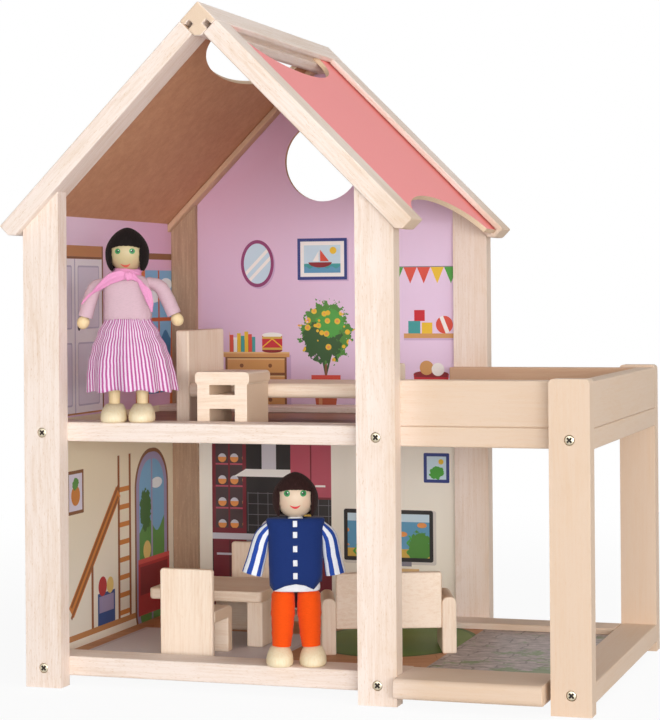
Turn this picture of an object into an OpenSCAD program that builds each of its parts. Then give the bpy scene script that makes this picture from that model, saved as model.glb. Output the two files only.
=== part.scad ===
// Two-storey open dollhouse with a roofed room block, a railed terrace,
// loose furniture and two jointed dolls. Millimetres, +Z up, front towards -Y.

/* [House frame] */
// Width of the room block across its posts
house_w = 220; // [190:1:260]
// Depth of the house across its posts
house_d = 216; // [190:1:250]
// Height of a corner post at its outer edge, where the rafter sits on it
wall_h = 259; // [240:1:300]
// Width of a post, seen from the front
post_w = 22; // [18:1:26]
// Thickness of a post, front to back
post_t = 11; // [9:0.5:14]
// Gap between the ground and the underside of the ground rails
rail_clear = 5.5; // [3:0.5:9]
// Height of the underside of the upper rails
upper_z = 139; // [125:1:150]
// Width of a rail, laid flat
rail_w = 22; // [18:1:26]
// Height of a rail
rail_h = 11; // [10:0.5:14]
// Radius of the eased edges of rails and boards
edge_r = 1; // [0.5:0.25:1.5]

/* [Panels] */
// Thickness of every panel: walls, floors and roof
panel_t = 3; // [2:0.5:4]
// Depth of the grooves that hold the panels
groove_d = 4; // [3:0.5:5]
// Play of a panel in its groove
groove_play = 0.3; // [0.1:0.1:0.4]
// How far the side wall's outer face lies inside the posts' outer faces
wall_inset = 1.5; // [1:0.5:3]
// How far the floor's top lies below the rails' top
floor_drop = 4; // [3:0.5:4.5]
// Radius of the round window in the back wall
window_r = 26; // [15:1:35]
// Height of the window's centre
window_z = 308; // [300:1:316]

/* [Roof] */
// Thickness of a rafter, square to the slope
rafter_t = 10.5; // [9:0.5:13]
// Depth of a rafter, front to back
rafter_w = 22; // [18:1:26]
// How far the rafters reach out past the posts, sideways
eave = 12; // [6:1:20]
// Side of the square ridge bar
ridge_w = 15; // [13:0.5:18]
// Depth of the roof panels below the top of the rafters
panel_sink = 3.7; // [2.5:0.1:4.5]
// How far the panels' lower edges stop short of the rafters' ends
panel_short = 3; // [1:0.5:6]
// Length of the hand-hole along the ridge
hand_hole_l = 148; // [100:2:170]
// Depth of the hand-hole down the slope
hand_hole_d = 25; // [18:1:35]
// Rise of the arch in the open side's lower roof edge
arch_rise = 24.5; // [10:0.5:35]
// Length of that arch, where it would meet the rafters' ends
arch_l = 150; // [80:2:156]

/* [Terrace] */
// Width of the terrace beyond the room block
terrace_w = 106; // [85:1:140]
// Height of the terrace posts above the parapet
post_proud = 1.5; // [0.5:0.5:6]
// Height of the parapet boards
parapet_h = 25; // [18:1:35]
// Thickness of the parapet boards
parapet_t = 11; // [8:0.5:12]
// How far the step board stands out in front of the posts
step_proud = 8; // [6:0.5:15]
// Gap between the step board and the terrace post
step_gap = 3; // [1:0.5:5]
// Radius of the step board's rounded front edges
step_r = 3.5; // [1:0.5:5]

/* [Screws] */
// Diameter of a screw's head
screw_head_d = 5.4; // [4:0.2:7]
// Diameter of a screw's shank
screw_d = 2.4; // [1.6:0.2:3.2]
// Length of a screw
screw_l = 24; // [18:1:30]

/* [Bed] */
// Length of the bed with its boards
bed_l = 125; // [100:1:130]
// Width of the bed
bed_w = 57; // [45:1:65]
// Height of the headboard
headboard_h = 55; // [40:1:70]
// Height of the footboard
footboard_h = 34; // [28:1:50]
// Thickness of the bed's boards
bed_t = 8.3; // [6:0.1:10]
// Height of the mattress board's top
bed_top = 24; // [18:1:30]

/* [Side table] */
// Width of the side table
side_table_w = 33; // [26:1:38]
// Depth of the side table
side_table_d = 35; // [28:0.5:35.5]
// Height of the side table
side_table_h = 32; // [26:1:38]

/* [Dining table] */
// Length of the dining table
table_l = 72; // [60:1:80]
// Depth of the dining table
table_d = 59; // [45:1:60]
// Height of the dining table
table_h = 33.5; // [31:0.5:42]
// Thickness of the table top
table_top_t = 6.5; // [5:0.5:9]
// Thickness of a slab leg
table_leg_t = 10; // [7:0.5:13]

/* [Chairs] */
// Width of a chair
chair_w = 32.5; // [25:0.5:36]
// Height of a chair's back
chair_h = 51.5; // [46:0.5:60]
// Depth of a chair's seat, without the back board
chair_d = 28; // [24:1:34]
// Height of a chair's seat
seat_h = 27; // [22:1:29]
// Thickness of a chair's back board
chair_back_t = 4; // [3:0.5:6]
// Thickness of a chair's seat and front leg
seat_t = 7; // [5:0.5:9]

/* [Sofa] */
// Width of the sofa over its arms
sofa_w = 78.5; // [70:0.5:86]
// Depth of the sofa
sofa_d = 38; // [32:1:44]
// Height of the sofa's back
sofa_h = 47.5; // [42:0.5:56]
// Height of the sofa's arms
arm_h = 33; // [30:1:40]
// Thickness of an arm
arm_t = 8.5; // [7:0.5:10]
// How far the sofa is turned from the front
sofa_turn = 20; // [0:1:28]

/* [Dolls] */
// Height of the woman doll's shoulders above her feet
woman_shoulder = 80; // [76:1:84]
// Height of the boy doll's shoulders above his feet
boy_shoulder = 75; // [72:1:80]
// Radius of a doll's head
head_r = 11; // [10:0.5:11.5]
// Thickness of a doll's hair
hair_t = 2.2; // [1.5:0.1:2.6]
// Half the width of a doll's body
torso_x = 14; // [12:0.5:15]
// Half the depth of a doll's body
torso_y = 8.5; // [7:0.5:9.5]
// Radius of the skirt's hem
hem_r = 28; // [25:0.5:30]
// Gap between doll parts that move against each other
doll_gap = 0.5; // [0.3:0.1:0.8]
// How far the woman doll faces round to the right
woman_turn = 16; // [0:1:25]
// How far the boy doll faces round to the right
boy_turn = 19; // [0:1:25]

/* [Hidden] */
$fn = 48;
eps = 0.01;

wood = "#ead6c3";
wood_white = "#f3ece4";
hardboard = "#8a5a3c";
red = "#d9544f";
lilac = "#d9c0dc";
plank = "#c98a55";
steel = "silver";
skin = "#f0d2a8";

// ---- Frame levels and lines, in the house's own corner frame:
// x from the left post's outer face, y from the front posts' front faces
root2 = sqrt(2);
mid_x = house_w / 2;
deck_x = house_w + terrace_w;
rafter_drop = rafter_t * root2;
apex_z = wall_h + mid_x + rafter_drop;
roof_front = -(rafter_w - post_t) / 2;
roof_back = house_d - roof_front;
slope_l = (mid_x + eave) * root2;
rear_y = house_d - post_t;
rail_back_y = rear_y - rail_w;
wall_in = wall_inset + panel_t;
right_rail_x = deck_x - rail_w;
upper_top = upper_z + rail_h;
ground_top = rail_clear + rail_h;
ground_floor_z = ground_top - floor_drop;
upper_floor_z = upper_top - floor_drop;
back_wall_y = house_d - post_t / 2 - panel_t / 2;
groove_w = panel_t + groove_play;
side_play = groove_play / 2;
terrace_post_h = upper_top + parapet_h + post_proud;

// The origin: the middle of the whole outline, on the ground
min_x = -eave;
max_x = deck_x;
min_y = -step_proud;
max_y = roof_back;
origin_x = (min_x + max_x) / 2;
origin_y = (min_y + max_y) / 2;

module in_house() {
    translate([-origin_x, -origin_y, 0]) children();
}

// Height of the rafters' underside at x on the left half
function under_z(x) = wall_h + x;

// Places across the left slope: s runs down from the apex, d square into the roof
function slope_pt(s, d) = [mid_x - (s - d) / root2, apex_z - (s + d) / root2];

// An outline in x and z, pulled along y from y0 to y1
module pull_y(y0, y1) {
    translate([0, y1, 0]) rotate([90, 0, 0]) linear_extrude(y1 - y0) children();
}

// An outline in y and z, pulled along x from x0 to x1
module pull_x(x0, x1) {
    translate([x0, 0, 0]) rotate([90, 0, 90]) linear_extrude(x1 - x0) children();
}

// A rectangle with four rounded corners
module rounded_rect(w, h, r) {
    translate([r, 0]) square([w - 2 * r, h]);
    translate([0, r]) square([w, h - 2 * r]);
    for (x = [r, w - r], y = [r, h - r]) translate([x, y]) circle(r);
}

// A rectangle whose two upper corners are rounded
module topped_rect(w, h, r) {
    square([w, h - r]);
    translate([r, 0]) square([w - 2 * r, h]);
    for (x = [r, w - r]) translate([x, h - r]) circle(r);
}

// The same shape on the right half of the room block
module mirror_right() {
    translate([house_w, 0, 0]) mirror([1, 0, 0]) children();
}

// The same shape at the back of the house
module mirror_back() {
    translate([0, house_d, 0]) mirror([0, 1, 0]) children();
}

// ---- Screws
screw_z = [rail_clear + rail_h / 2, upper_z + rail_h / 2];
screw_x = [post_w / 2, house_w - post_w / 2, deck_x - post_w / 2];
head_t = 1.4;
head_sink = 0.3;
slot_w = 0.7;
slot_l = 3.6;

module screw() {
    rotate([-90, 0, 0]) difference() {
        union() {
            translate([0, 0, head_sink]) cylinder(h = head_t, d = screw_head_d);
            translate([0, 0, head_sink]) cylinder(h = screw_l - head_sink, d = screw_d);
        }
        for (a = [45, 135]) rotate([0, 0, a])
            translate([-slot_l / 2, -slot_w / 2, head_sink - eps])
                cube([slot_l, slot_w, head_t / 2]);
    }
}

module screw_bore() {
    rotate([-90, 0, 0]) {
        translate([0, 0, -eps]) cylinder(h = head_sink + head_t + eps, d = screw_head_d + groove_play);
        cylinder(h = screw_l + groove_play, d = screw_d + groove_play);
    }
}

module at_front_screws() {
    for (x = screw_x, z = screw_z) translate([x, 0, z]) children();
}

module at_all_screws() {
    at_front_screws() children();
    mirror_back() at_front_screws() children();
}

module frame_screws() {
    color(steel) in_house() at_all_screws() screw();
}

// ---- Posts
module post_blank() {
    pull_y(0, post_t)
        polygon([[0, 0], [post_w, 0], [post_w, under_z(post_w)], [0, under_z(0)]]);
}

// Groove for the side wall, in the faces that look along the wall
module side_wall_groove() {
    translate([wall_inset - side_play, post_t - groove_d, rail_clear])
        cube([groove_w, groove_d + eps, under_z(post_w)]);
}

// Groove for the back wall, in the rear posts' inner faces
module back_wall_groove() {
    translate([post_w - groove_d, back_wall_y - side_play, rail_clear])
        cube([groove_d + eps, groove_w, under_z(post_w)]);
}

module post_front_left() {
    color(wood) in_house() difference() {
        post_blank();
        side_wall_groove();
        at_front_screws() screw_bore();
    }
}

module post_front_right() {
    color(wood) in_house() difference() {
        mirror_right() post_blank();
        at_front_screws() screw_bore();
    }
}

module post_rear_left() {
    color(wood) in_house() difference() {
        mirror_back() post_blank();
        mirror_back() side_wall_groove();
        back_wall_groove();
        mirror_back() at_front_screws() screw_bore();
    }
}

module post_rear_right() {
    color(wood) in_house() difference() {
        mirror_back() mirror_right() post_blank();
        mirror_right() back_wall_groove();
        mirror_back() at_front_screws() screw_bore();
    }
}

// Terrace post with rounded upper corners
module terrace_post_blank() {
    translate([deck_x - post_w, 0, 0])
        pull_y(0, post_t) topped_rect(post_w, terrace_post_h, 2.5 * edge_r);
}

module terrace_post_front() {
    color(wood) in_house() difference() {
        terrace_post_blank();
        at_front_screws() screw_bore();
    }
}

module terrace_post_rear() {
    color(wood) in_house() mirror_back() difference() {
        terrace_post_blank();
        at_front_screws() screw_bore();
    }
}

// ---- Roof
ridge_half = ridge_w / root2;
ridge_flat = 2;
ridge_bottom = apex_z - 2 * ridge_half + ridge_flat;
panel_top = ridge_w - groove_d;
panel_end = slope_l - panel_short;
gable_groove = 2;
tip_cut = 3;
panel_front = roof_front + rafter_w - groove_d;
panel_back = roof_back - rafter_w + groove_d;

module ridge_beam() {
    color(wood) in_house() pull_y(roof_front, roof_back) difference() {
        translate([mid_x, apex_z]) rotate(45) translate([-ridge_w, -ridge_w]) square(ridge_w);
        translate([mid_x - ridge_half, ridge_bottom - ridge_w]) square([2 * ridge_half, ridge_w]);
        ridge_groove();
        translate([house_w, 0]) mirror([1, 0]) ridge_groove();
    }
}

module ridge_groove() {
    polygon([slope_pt(panel_top - side_play, panel_sink - side_play),
        slope_pt(ridge_w + 1, panel_sink - side_play),
        slope_pt(ridge_w + 1, panel_sink + panel_t + side_play),
        slope_pt(panel_top - side_play, panel_sink + panel_t + side_play)]);
}

// Left front rafter: square end on the ridge bar, lower corner trimmed level
module rafter_blank() {
    difference() {
        pull_y(roof_front, roof_front + rafter_w) polygon([slope_pt(ridge_w, 0), slope_pt(slope_l, 0),
            slope_pt(slope_l, rafter_t - tip_cut), slope_pt(slope_l - tip_cut, rafter_t),
            slope_pt(ridge_w, rafter_t)]);
        pull_y(panel_front, roof_front + rafter_w + 1) polygon([
            slope_pt(ridge_w - 1, panel_sink - side_play),
            slope_pt(panel_end + side_play, panel_sink - side_play),
            slope_pt(panel_end + side_play, panel_sink + panel_t + side_play),
            slope_pt(ridge_w - 1, panel_sink + panel_t + side_play)]);
    }
}

// Groove in the rear rafters' undersides for the top of the back wall
module gable_cut() {
    depth = rafter_t - gable_groove - side_play;
    end = (mid_x - post_w + rafter_drop) * root2;
    pull_y(back_wall_y - side_play, back_wall_y + panel_t + side_play)
        polygon([slope_pt(ridge_w - 1, depth), slope_pt(end, depth),
            slope_pt(end, rafter_t + 1), slope_pt(ridge_w - 1, rafter_t + 1)]);
}

module rafter_front_left() {
    color(wood) in_house() rafter_blank();
}

module rafter_front_right() {
    color(wood) in_house() mirror_right() rafter_blank();
}

module rafter_rear_left() {
    color(wood) in_house() difference() {
        mirror_back() rafter_blank();
        gable_cut();
    }
}

module rafter_rear_right() {
    color(wood) in_house() mirror_right() difference() {
        mirror_back() rafter_blank();
        gable_cut();
    }
}

// A roof panel lying flat: x runs down the slope from the apex, y front to back
module roof_panel_flat(arched) {
    translate([0, house_d / 2]) difference() {
        translate([panel_top, panel_front - house_d / 2])
            square([panel_end - panel_top, panel_back - panel_front]);
        half_oval(ridge_w, hand_hole_d, hand_hole_l / 2);
        if (arched) translate([0, -arch_forward])
            half_oval(slope_l, -arch_rise - panel_short, arch_l / 2);
    }
}

// Half an ellipse on the line x = base, cut through to the panel's edge behind it
oval_n = 40;
arch_forward = 5;
module half_oval(base, depth, half_l) {
    polygon(concat([[base - depth, -half_l], [base - depth, half_l]],
        [for (i = [oval_n:-1:0]) let(a = 180 * i / oval_n)
            [base + depth * sin(a), -half_l * cos(a)]]));
}

// Lays a flat panel into the left slope
module on_left_slope() {
    translate([mid_x, 0, apex_z]) mirror([1, 0, 0]) rotate([0, 45, 0])
        translate([0, 0, -panel_sink - panel_t]) linear_extrude(panel_t) children();
}

module roof_panel_left() {
    color(hardboard) in_house() on_left_slope() roof_panel_flat(false);
}

module roof_panel_right() {
    color(red) in_house() mirror_right() on_left_slope() roof_panel_flat(true);
}

// ---- Walls
// Top edge of the side wall, cut to the slope at depth d below the roof's top
module side_wall_slice(d, y0, y1) {
    pull_y(y0, y1) polygon([[wall_inset, rail_clear], [wall_in, rail_clear],
        [wall_in, apex_z - mid_x - d * root2 + wall_in],
        [wall_inset, apex_z - mid_x - d * root2 + wall_inset]]);
}

module side_wall() {
    color(lilac) in_house() union() {
        side_wall_slice(rafter_t, post_t - groove_d, house_d - post_t + groove_d);
        side_wall_slice(panel_sink + panel_t, roof_front + rafter_w, roof_back - rafter_w);
    }
}

module back_wall() {
    gable_rise = gable_groove * root2;
    left_x = post_w - groove_d;
    flat_half = under_z(mid_x) + gable_rise - ridge_bottom;
    color(lilac) in_house() pull_y(back_wall_y, back_wall_y + panel_t) difference() {
        polygon([[left_x, rail_clear], [house_w - left_x, rail_clear],
            [house_w - left_x, under_z(left_x)],
            [house_w - post_w, under_z(left_x)],
            [house_w - post_w, under_z(post_w) + gable_rise],
            [mid_x + flat_half, ridge_bottom], [mid_x - flat_half, ridge_bottom],
            [post_w, under_z(post_w) + gable_rise],
            [post_w, under_z(left_x)], [left_x, under_z(left_x)]]);
        translate([mid_x, window_z]) circle(window_r, $fn = 96);
    }
}

// ---- Floors
module floor_panel(top_z) {
    translate([wall_in, post_t + rail_w - groove_d, top_z - panel_t])
        cube([right_rail_x + groove_d - wall_in, rail_back_y - post_t - rail_w + 2 * groove_d, panel_t]);
}

module ground_floor() {
    color(plank) in_house() floor_panel(ground_floor_z);
}

module upper_floor() {
    color(plank) in_house() floor_panel(upper_floor_z);
}

// ---- Rails
// The end outline of a rail, laid flat, with eased edges
module rail_end() {
    rounded_rect(rail_w, rail_h, edge_r);
}

// A rail's groove for the floor, deep enough for the panel
module floor_groove(x0, x1) {
    translate([x0, post_t + rail_w - groove_d - side_play, rail_h - floor_drop - panel_t - side_play])
        cube([x1 - x0, groove_d + 1, groove_w]);
}

module front_rail(x0, x1, z) {
    difference() {
        translate([0, 0, z]) difference() {
            translate([0, post_t, 0]) pull_x(x0, x1) rail_end();
            floor_groove(x0 - 1, x1 + 1);
        }
        at_front_screws() screw_bore();
    }
}

module right_rail(z) {
    difference() {
        translate([right_rail_x, 0, z]) pull_y(post_t, rear_y) rail_end();
        translate([right_rail_x - 1, post_t + rail_w - groove_d - side_play,
            z + rail_h - floor_drop - panel_t - side_play])
            cube([groove_d + 1 + side_play,
                rail_back_y - post_t - rail_w + 2 * groove_d + groove_play, groove_w]);
        at_all_screws() screw_bore();
    }
}

module ground_rail_front() {
    color(wood) in_house() front_rail(wall_in, house_w, rail_clear);
}

module ground_rail_back() {
    color(wood) in_house() mirror_back() front_rail(wall_in, right_rail_x, rail_clear);
}

module ground_rail_right() {
    color(wood) in_house() right_rail(rail_clear);
}

module upper_rail_front() {
    color(wood) in_house() front_rail(wall_in, right_rail_x, upper_z);
}

module upper_rail_back() {
    color(wood) in_house() mirror_back() front_rail(wall_in, right_rail_x, upper_z);
}

module upper_rail_right() {
    color(wood) in_house() right_rail(upper_z);
}

// Broad step in front of the terrace, with rounded front edges
module step_board() {
    step_end = right_rail_x - step_gap;
    step_back = post_t + rail_w;
    depth = step_proud + step_back;
    color(wood) in_house() translate([0, 0, rail_clear]) difference() {
        pull_x(house_w, step_end) translate([-step_proud, 0]) rounded_rect(depth, rail_h, step_r);
        floor_groove(house_w - 1, step_end + 1);
    }
}

// ---- Parapets
module parapet_end() {
    rounded_rect(parapet_t, parapet_h, edge_r);
}

module parapet_front() {
    color(wood) in_house() translate([0, post_t, upper_top])
        pull_x(house_w - post_w, deck_x - parapet_t) parapet_end();
}

module parapet_back() {
    color(wood) in_house() mirror_back() translate([0, post_t, upper_top])
        pull_x(house_w - post_w, deck_x - parapet_t) parapet_end();
}

module parapet_right() {
    color(wood) in_house() translate([deck_x - parapet_t, 0, upper_top])
        pull_y(post_t, rear_y) parapet_end();
}

// ---- Side table, an H-shaped block with a slot above and below the bar
side_table_x = 91;
side_gap = 0.4;
side_table_y = post_t + rail_w + side_gap;
side_top_t = 7.5;
side_leg_t = 7.5;
side_slot = 5.5;
side_bar = 8;
side_lip = 1.3;
side_round = 2.5;

module side_table() {
    inner = side_table_w - 2 * side_lip - 2 * side_leg_t;
    bar_z = side_table_h - side_top_t - side_slot - side_bar;
    color(wood) in_house() translate([side_table_x, side_table_y, upper_floor_z])
        pull_y(0, side_table_d) difference() {
            union() {
                translate([0, side_table_h - side_top_t])
                    rounded_rect(side_table_w, side_top_t, side_round);
                translate([side_lip, 0]) square([side_table_w - 2 * side_lip, side_table_h - side_top_t / 2]);
            }
            translate([side_lip + side_leg_t, bar_z + side_bar]) square([inner, side_slot]);
            translate([side_lip + side_leg_t, -1]) square([inner, bar_z + 1]);
        }
}

// ---- Bed, on the upper floor, head to the left
bed_x = 64.4;
bed_gap = 0.6;
bed_y = side_table_y + side_table_d + bed_gap;
bed_board_t = 8.5;
bed_round = 3;
board_round = 1.5;

module at_bed() {
    in_house() translate([bed_x, bed_y, upper_floor_z]) children();
}

module bed_headboard() {
    color(wood) at_bed() pull_x(0, bed_t) topped_rect(bed_w, headboard_h, board_round);
}

module bed_footboard() {
    color(wood) at_bed() pull_x(bed_l - bed_t, bed_l) topped_rect(bed_w, footboard_h, board_round);
}

module bed_base() {
    color(wood_white) at_bed() pull_x(bed_t, bed_l - bed_t)
        translate([0, bed_top - bed_board_t]) rounded_rect(bed_w, bed_board_t, bed_round);
}

// ---- Dining table, on the ground floor
table_x = 40;
table_y = 82;
leg_inset_left = 8;
leg_inset_right = 1;
leg_inset_y = 5;
table_round = 4;

module at_table() {
    in_house() translate([table_x, table_y, ground_floor_z]) children();
}

module table_top() {
    color(wood) at_table() translate([0, 0, table_h - table_top_t])
        linear_extrude(table_top_t) rounded_rect(table_l, table_d, table_round);
}

module table_legs() {
    color(wood) at_table() for (x = [leg_inset_left, table_l - leg_inset_right - table_leg_t])
        translate([x, leg_inset_y, 0])
            cube([table_leg_t, table_d - 2 * leg_inset_y, table_h - table_top_t]);
}

// ---- Chairs. The back board stands at y = 0 and the seat runs to +y
chair_1_x = 64.7;
chair_1_y = 42;
chair_2_x = 59.3;
chair_2_gap = 9;
chair_round = 2;

module chair_back() {
    pull_y(0, chair_back_t) topped_rect(chair_w, chair_h, chair_round);
}

module chair_seat() {
    pull_x(0, chair_w) translate([chair_back_t, 0]) {
        translate([0, seat_h - seat_t]) square([chair_d - seat_t / 2, seat_t]);
        translate([chair_d - seat_t, 0]) square([seat_t, seat_h - seat_t / 2]);
        translate([chair_d - seat_t / 2, seat_h - seat_t / 2]) circle(seat_t / 2);
    }
}

module at_chair_1() {
    in_house() translate([chair_1_x, chair_1_y, ground_floor_z]) children();
}

// The second chair faces the first across the table, its back near the back rail
module at_chair_2() {
    in_house() translate([chair_2_x + chair_w, rail_back_y - chair_2_gap, ground_floor_z])
        rotate([0, 0, 180]) children();
}

module chair_1_back() {
    color(wood) at_chair_1() chair_back();
}

module chair_1_seat() {
    color(wood) at_chair_1() chair_seat();
}

module chair_2_back() {
    color(wood) at_chair_2() chair_back();
}

module chair_2_seat() {
    color(wood) at_chair_2() chair_seat();
}

// ---- Sofa, its back towards the front of the house
sofa_x = 153.8;
sofa_y = 70;
sofa_back_t = 5;
sofa_back_low = 15;
sofa_seat_z = 15;
sofa_seat_t = 8;
arm_round = 3.8;

module at_sofa() {
    in_house() translate([sofa_x, sofa_y, ground_floor_z]) rotate([0, 0, sofa_turn]) children();
}

module sofa_back() {
    color(wood) at_sofa() translate([arm_t, 0, sofa_back_low]) pull_y(0, sofa_back_t)
        topped_rect(sofa_w - 2 * arm_t, sofa_h - sofa_back_low, board_round);
}

module sofa_seat() {
    color(wood) at_sofa() translate([arm_t, sofa_back_t, sofa_seat_z])
        cube([sofa_w - 2 * arm_t, sofa_d - sofa_back_t, sofa_seat_t]);
}

module sofa_arms() {
    color(wood) at_sofa() for (x = [0, sofa_w - arm_t])
        translate([x, 0, 0]) pull_y(0, sofa_d) topped_rect(arm_t, arm_h, arm_round);
}

// ---- Dolls. Each stands at x = y = 0 on z = 0 and faces -y
doll_y = post_t + rail_w / 2;
woman_x = 54.8;
boy_x = 155.3;
hand_r = 4.2;
sleeve_top_r = 4;
shoulder_swell = 0.15;
cuff_r = 4.4;
boy_cuff_r = 5.4;
arm_drop = 2;
shoulder_x = torso_x + doll_gap + sleeve_top_r;

module at_woman() {
    in_house() translate([woman_x, doll_y, upper_top]) rotate([0, 0, woman_turn]) children();
}

module at_boy() {
    in_house() translate([boy_x, doll_y, ground_top]) rotate([0, 0, boy_turn]) children();
}

// A body outline: wide, with round sides
module torso_outline(rx, ry) {
    translate([-(rx - ry), -ry]) square([2 * (rx - ry), 2 * ry]);
    for (side = [-1, 1]) translate([side * (rx - ry), 0]) circle(ry);
}

module head(z) {
    translate([0, 0, z]) sphere(head_r, $fn = 64);
}

// Hair: a shell round the head, open over the face and below
// z is the head's centre, fringe and nape the heights of the two lower edges from it
face_x = 9.9;
face_y = 3.1;
fringe = 4.6;
hair_gap = 0.1;

module hair(z, nape) {
    big = 4 * head_r;
    difference() {
        translate([0, 0, z + hair_t / 3]) sphere(head_r + hair_t, $fn = 64);
        translate([0, 0, z]) sphere(head_r + hair_gap, $fn = 64);
        translate([-face_x, -face_y - big, z + fringe - big]) cube([2 * face_x, big, big]);
        translate([-big / 2, -big / 2, z - nape - big]) cube(big);
    }
}

// An arm with its sleeve, from the shoulder outwards and down to the hand
module arm(reach, drop, cuff_r) {
    long = sqrt(reach * reach + drop * drop);
    rotate([0, 180 - atan2(reach, drop), 0]) {
        cylinder(h = long - hand_r, r1 = sleeve_top_r, r2 = cuff_r);
        translate([0, 0, long - hand_r]) sphere(hand_r);
    }
    sphere(sleeve_top_r + shoulder_swell);
}

// A wooden shoe: round toe in front, straight heel behind. From under the leg back the
// sole rises just enough to roll about the hip as the leg swings forwards
foot_w = 15;
foot_h = 10;
toe = 13;
heel = 8;
foot_x = foot_w / 2 + doll_gap;

module foot(x, hip) {
    heel_rise = hip - sqrt(hip * hip - heel * heel);
    translate([x, 0, 0]) intersection() {
        linear_extrude(foot_h) {
            translate([0, foot_w / 2 - toe]) circle(foot_w / 2);
            translate([-foot_w / 2, foot_w / 2 - toe]) square([foot_w, toe + heel - foot_w / 2]);
        }
        pull_x(-foot_w, foot_w) polygon([[-foot_w, 0], [0, 0], [heel, heel_rise],
            [foot_w, heel_rise], [foot_w, foot_h], [-foot_w, foot_h]]);
    }
}

// Woman
woman_chin = woman_shoulder + 6.5;
woman_head_z = woman_chin + head_r;
woman_waist = 59;
hem_z = 17.5;
waist_r = 12;
skirt_t = 1.5;
scarf_x = 10.5;
scarf_gap = 2;
woman_hip = 52;
leg_r = 3.8;

module woman_head() {
    color(skin) at_woman() head(woman_head_z);
}

module woman_hair() {
    color("#1c1616") at_woman() hair(woman_head_z, 7.9);
}

// A body with its neck, from the waist up to just under the head
module torso(waist_z, collar_z, chin_z, rx, ry) {
    translate([0, 0, waist_z]) linear_extrude(collar_z - waist_z) torso_outline(rx, ry);
    translate([0, 0, waist_z]) cylinder(h = chin_z - doll_gap - waist_z, r = neck_r);
}
neck_r = 3.5;
collar_rise = 4;

module woman_blouse() {
    color("#f0d3da") at_woman()
        torso(woman_waist, woman_shoulder + collar_rise, woman_chin, torso_x, torso_y);
}

module woman_scarf() {
    color("#e98bb5") at_woman() translate([0, 0, woman_shoulder + collar_rise])
        linear_extrude(woman_chin - woman_shoulder - collar_rise + doll_gap) difference() {
            torso_outline(scarf_x, torso_y);
            circle(neck_r + scarf_gap);
        }
}

module woman_skirt() {
    color("#f2a9c6") at_woman() difference() {
        translate([0, 0, hem_z]) cylinder(h = woman_waist - hem_z, r1 = hem_r, r2 = waist_r, $fn = 72);
        translate([0, 0, hem_z - eps])
            cylinder(h = woman_waist - hem_z - skirt_t, r1 = hem_r - skirt_t,
                r2 = waist_r - skirt_t, $fn = 72);
    }
}

module woman_leg(side) {
    foot(side * foot_x, woman_hip);
    translate([side * foot_x, 0, 0]) {
        translate([0, 0, foot_h - eps]) cylinder(h = woman_hip - foot_h + eps, r = leg_r);
        translate([0, 0, woman_hip]) sphere(leg_r);
    }
}

module woman_leg_left() {
    color(skin) at_woman() woman_leg(-1);
}

module woman_leg_right() {
    color(skin) at_woman() woman_leg(1);
}

module woman_arm_left() {
    color("#f0d3da") at_woman() translate([-shoulder_x, 0, woman_shoulder - arm_drop])
        mirror([1, 0, 0]) arm(9, 24, cuff_r);
}

module woman_arm_right() {
    color("#f0d3da") at_woman() translate([shoulder_x, 0, woman_shoulder - arm_drop])
        arm(13, 22, cuff_r);
}

// Boy
boy_chin = boy_shoulder + 6.5;
boy_head_z = boy_chin + head_r;
boy_waist = 42;
trouser_r = 7.4;
trouser_end_r = 6;
boy_foot_x = 9.2;
boy_hip = boy_waist - doll_gap - trouser_r;
vest_t = 1.2;
vest_z = 45;
vest_rise = 3;

module boy_head() {
    color(skin) at_boy() head(boy_head_z);
}

module boy_hair() {
    color("#4a2f22") at_boy() hair(boy_head_z, 6);
}

module boy_shirt() {
    color("#f4f2ee") at_boy()
        torso(boy_waist, boy_shoulder + collar_rise, boy_chin, torso_x - vest_t, torso_y - vest_t);
}

module boy_vest() {
    color("#2d3a6b") at_boy() translate([0, 0, vest_z])
        linear_extrude(boy_shoulder + vest_rise - vest_z) difference() {
            torso_outline(torso_x, torso_y);
            torso_outline(torso_x - vest_t, torso_y - vest_t);
        }
}

// Trouser leg with a round hip that turns under the shirt
module trouser(side) {
    translate([side * foot_x, 0, 0]) {
        translate([0, 0, foot_h]) cylinder(h = boy_hip - foot_h, r1 = trouser_end_r, r2 = trouser_r);
        translate([-trouser_r, 0, boy_hip]) rotate([0, 90, 0]) cylinder(h = 2 * trouser_r, r = trouser_r);
    }
}

module boy_trouser_left() {
    color("#ef8a3c") at_boy() trouser(-1);
}

module boy_trouser_right() {
    color("#ef8a3c") at_boy() trouser(1);
}

module boy_foot_left() {
    color(wood) at_boy() foot(-boy_foot_x, boy_hip);
}

module boy_foot_right() {
    color(wood) at_boy() foot(boy_foot_x, boy_hip);
}

module boy_arm_left() {
    color("#8fb4dd") at_boy() translate([-shoulder_x, 0, boy_shoulder - arm_drop])
        mirror([1, 0, 0]) arm(8, 28, boy_cuff_r);
}

module boy_arm_right() {
    color("#8fb4dd") at_boy() translate([shoulder_x, 0, boy_shoulder - arm_drop])
        arm(5, 27, boy_cuff_r);
}

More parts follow.
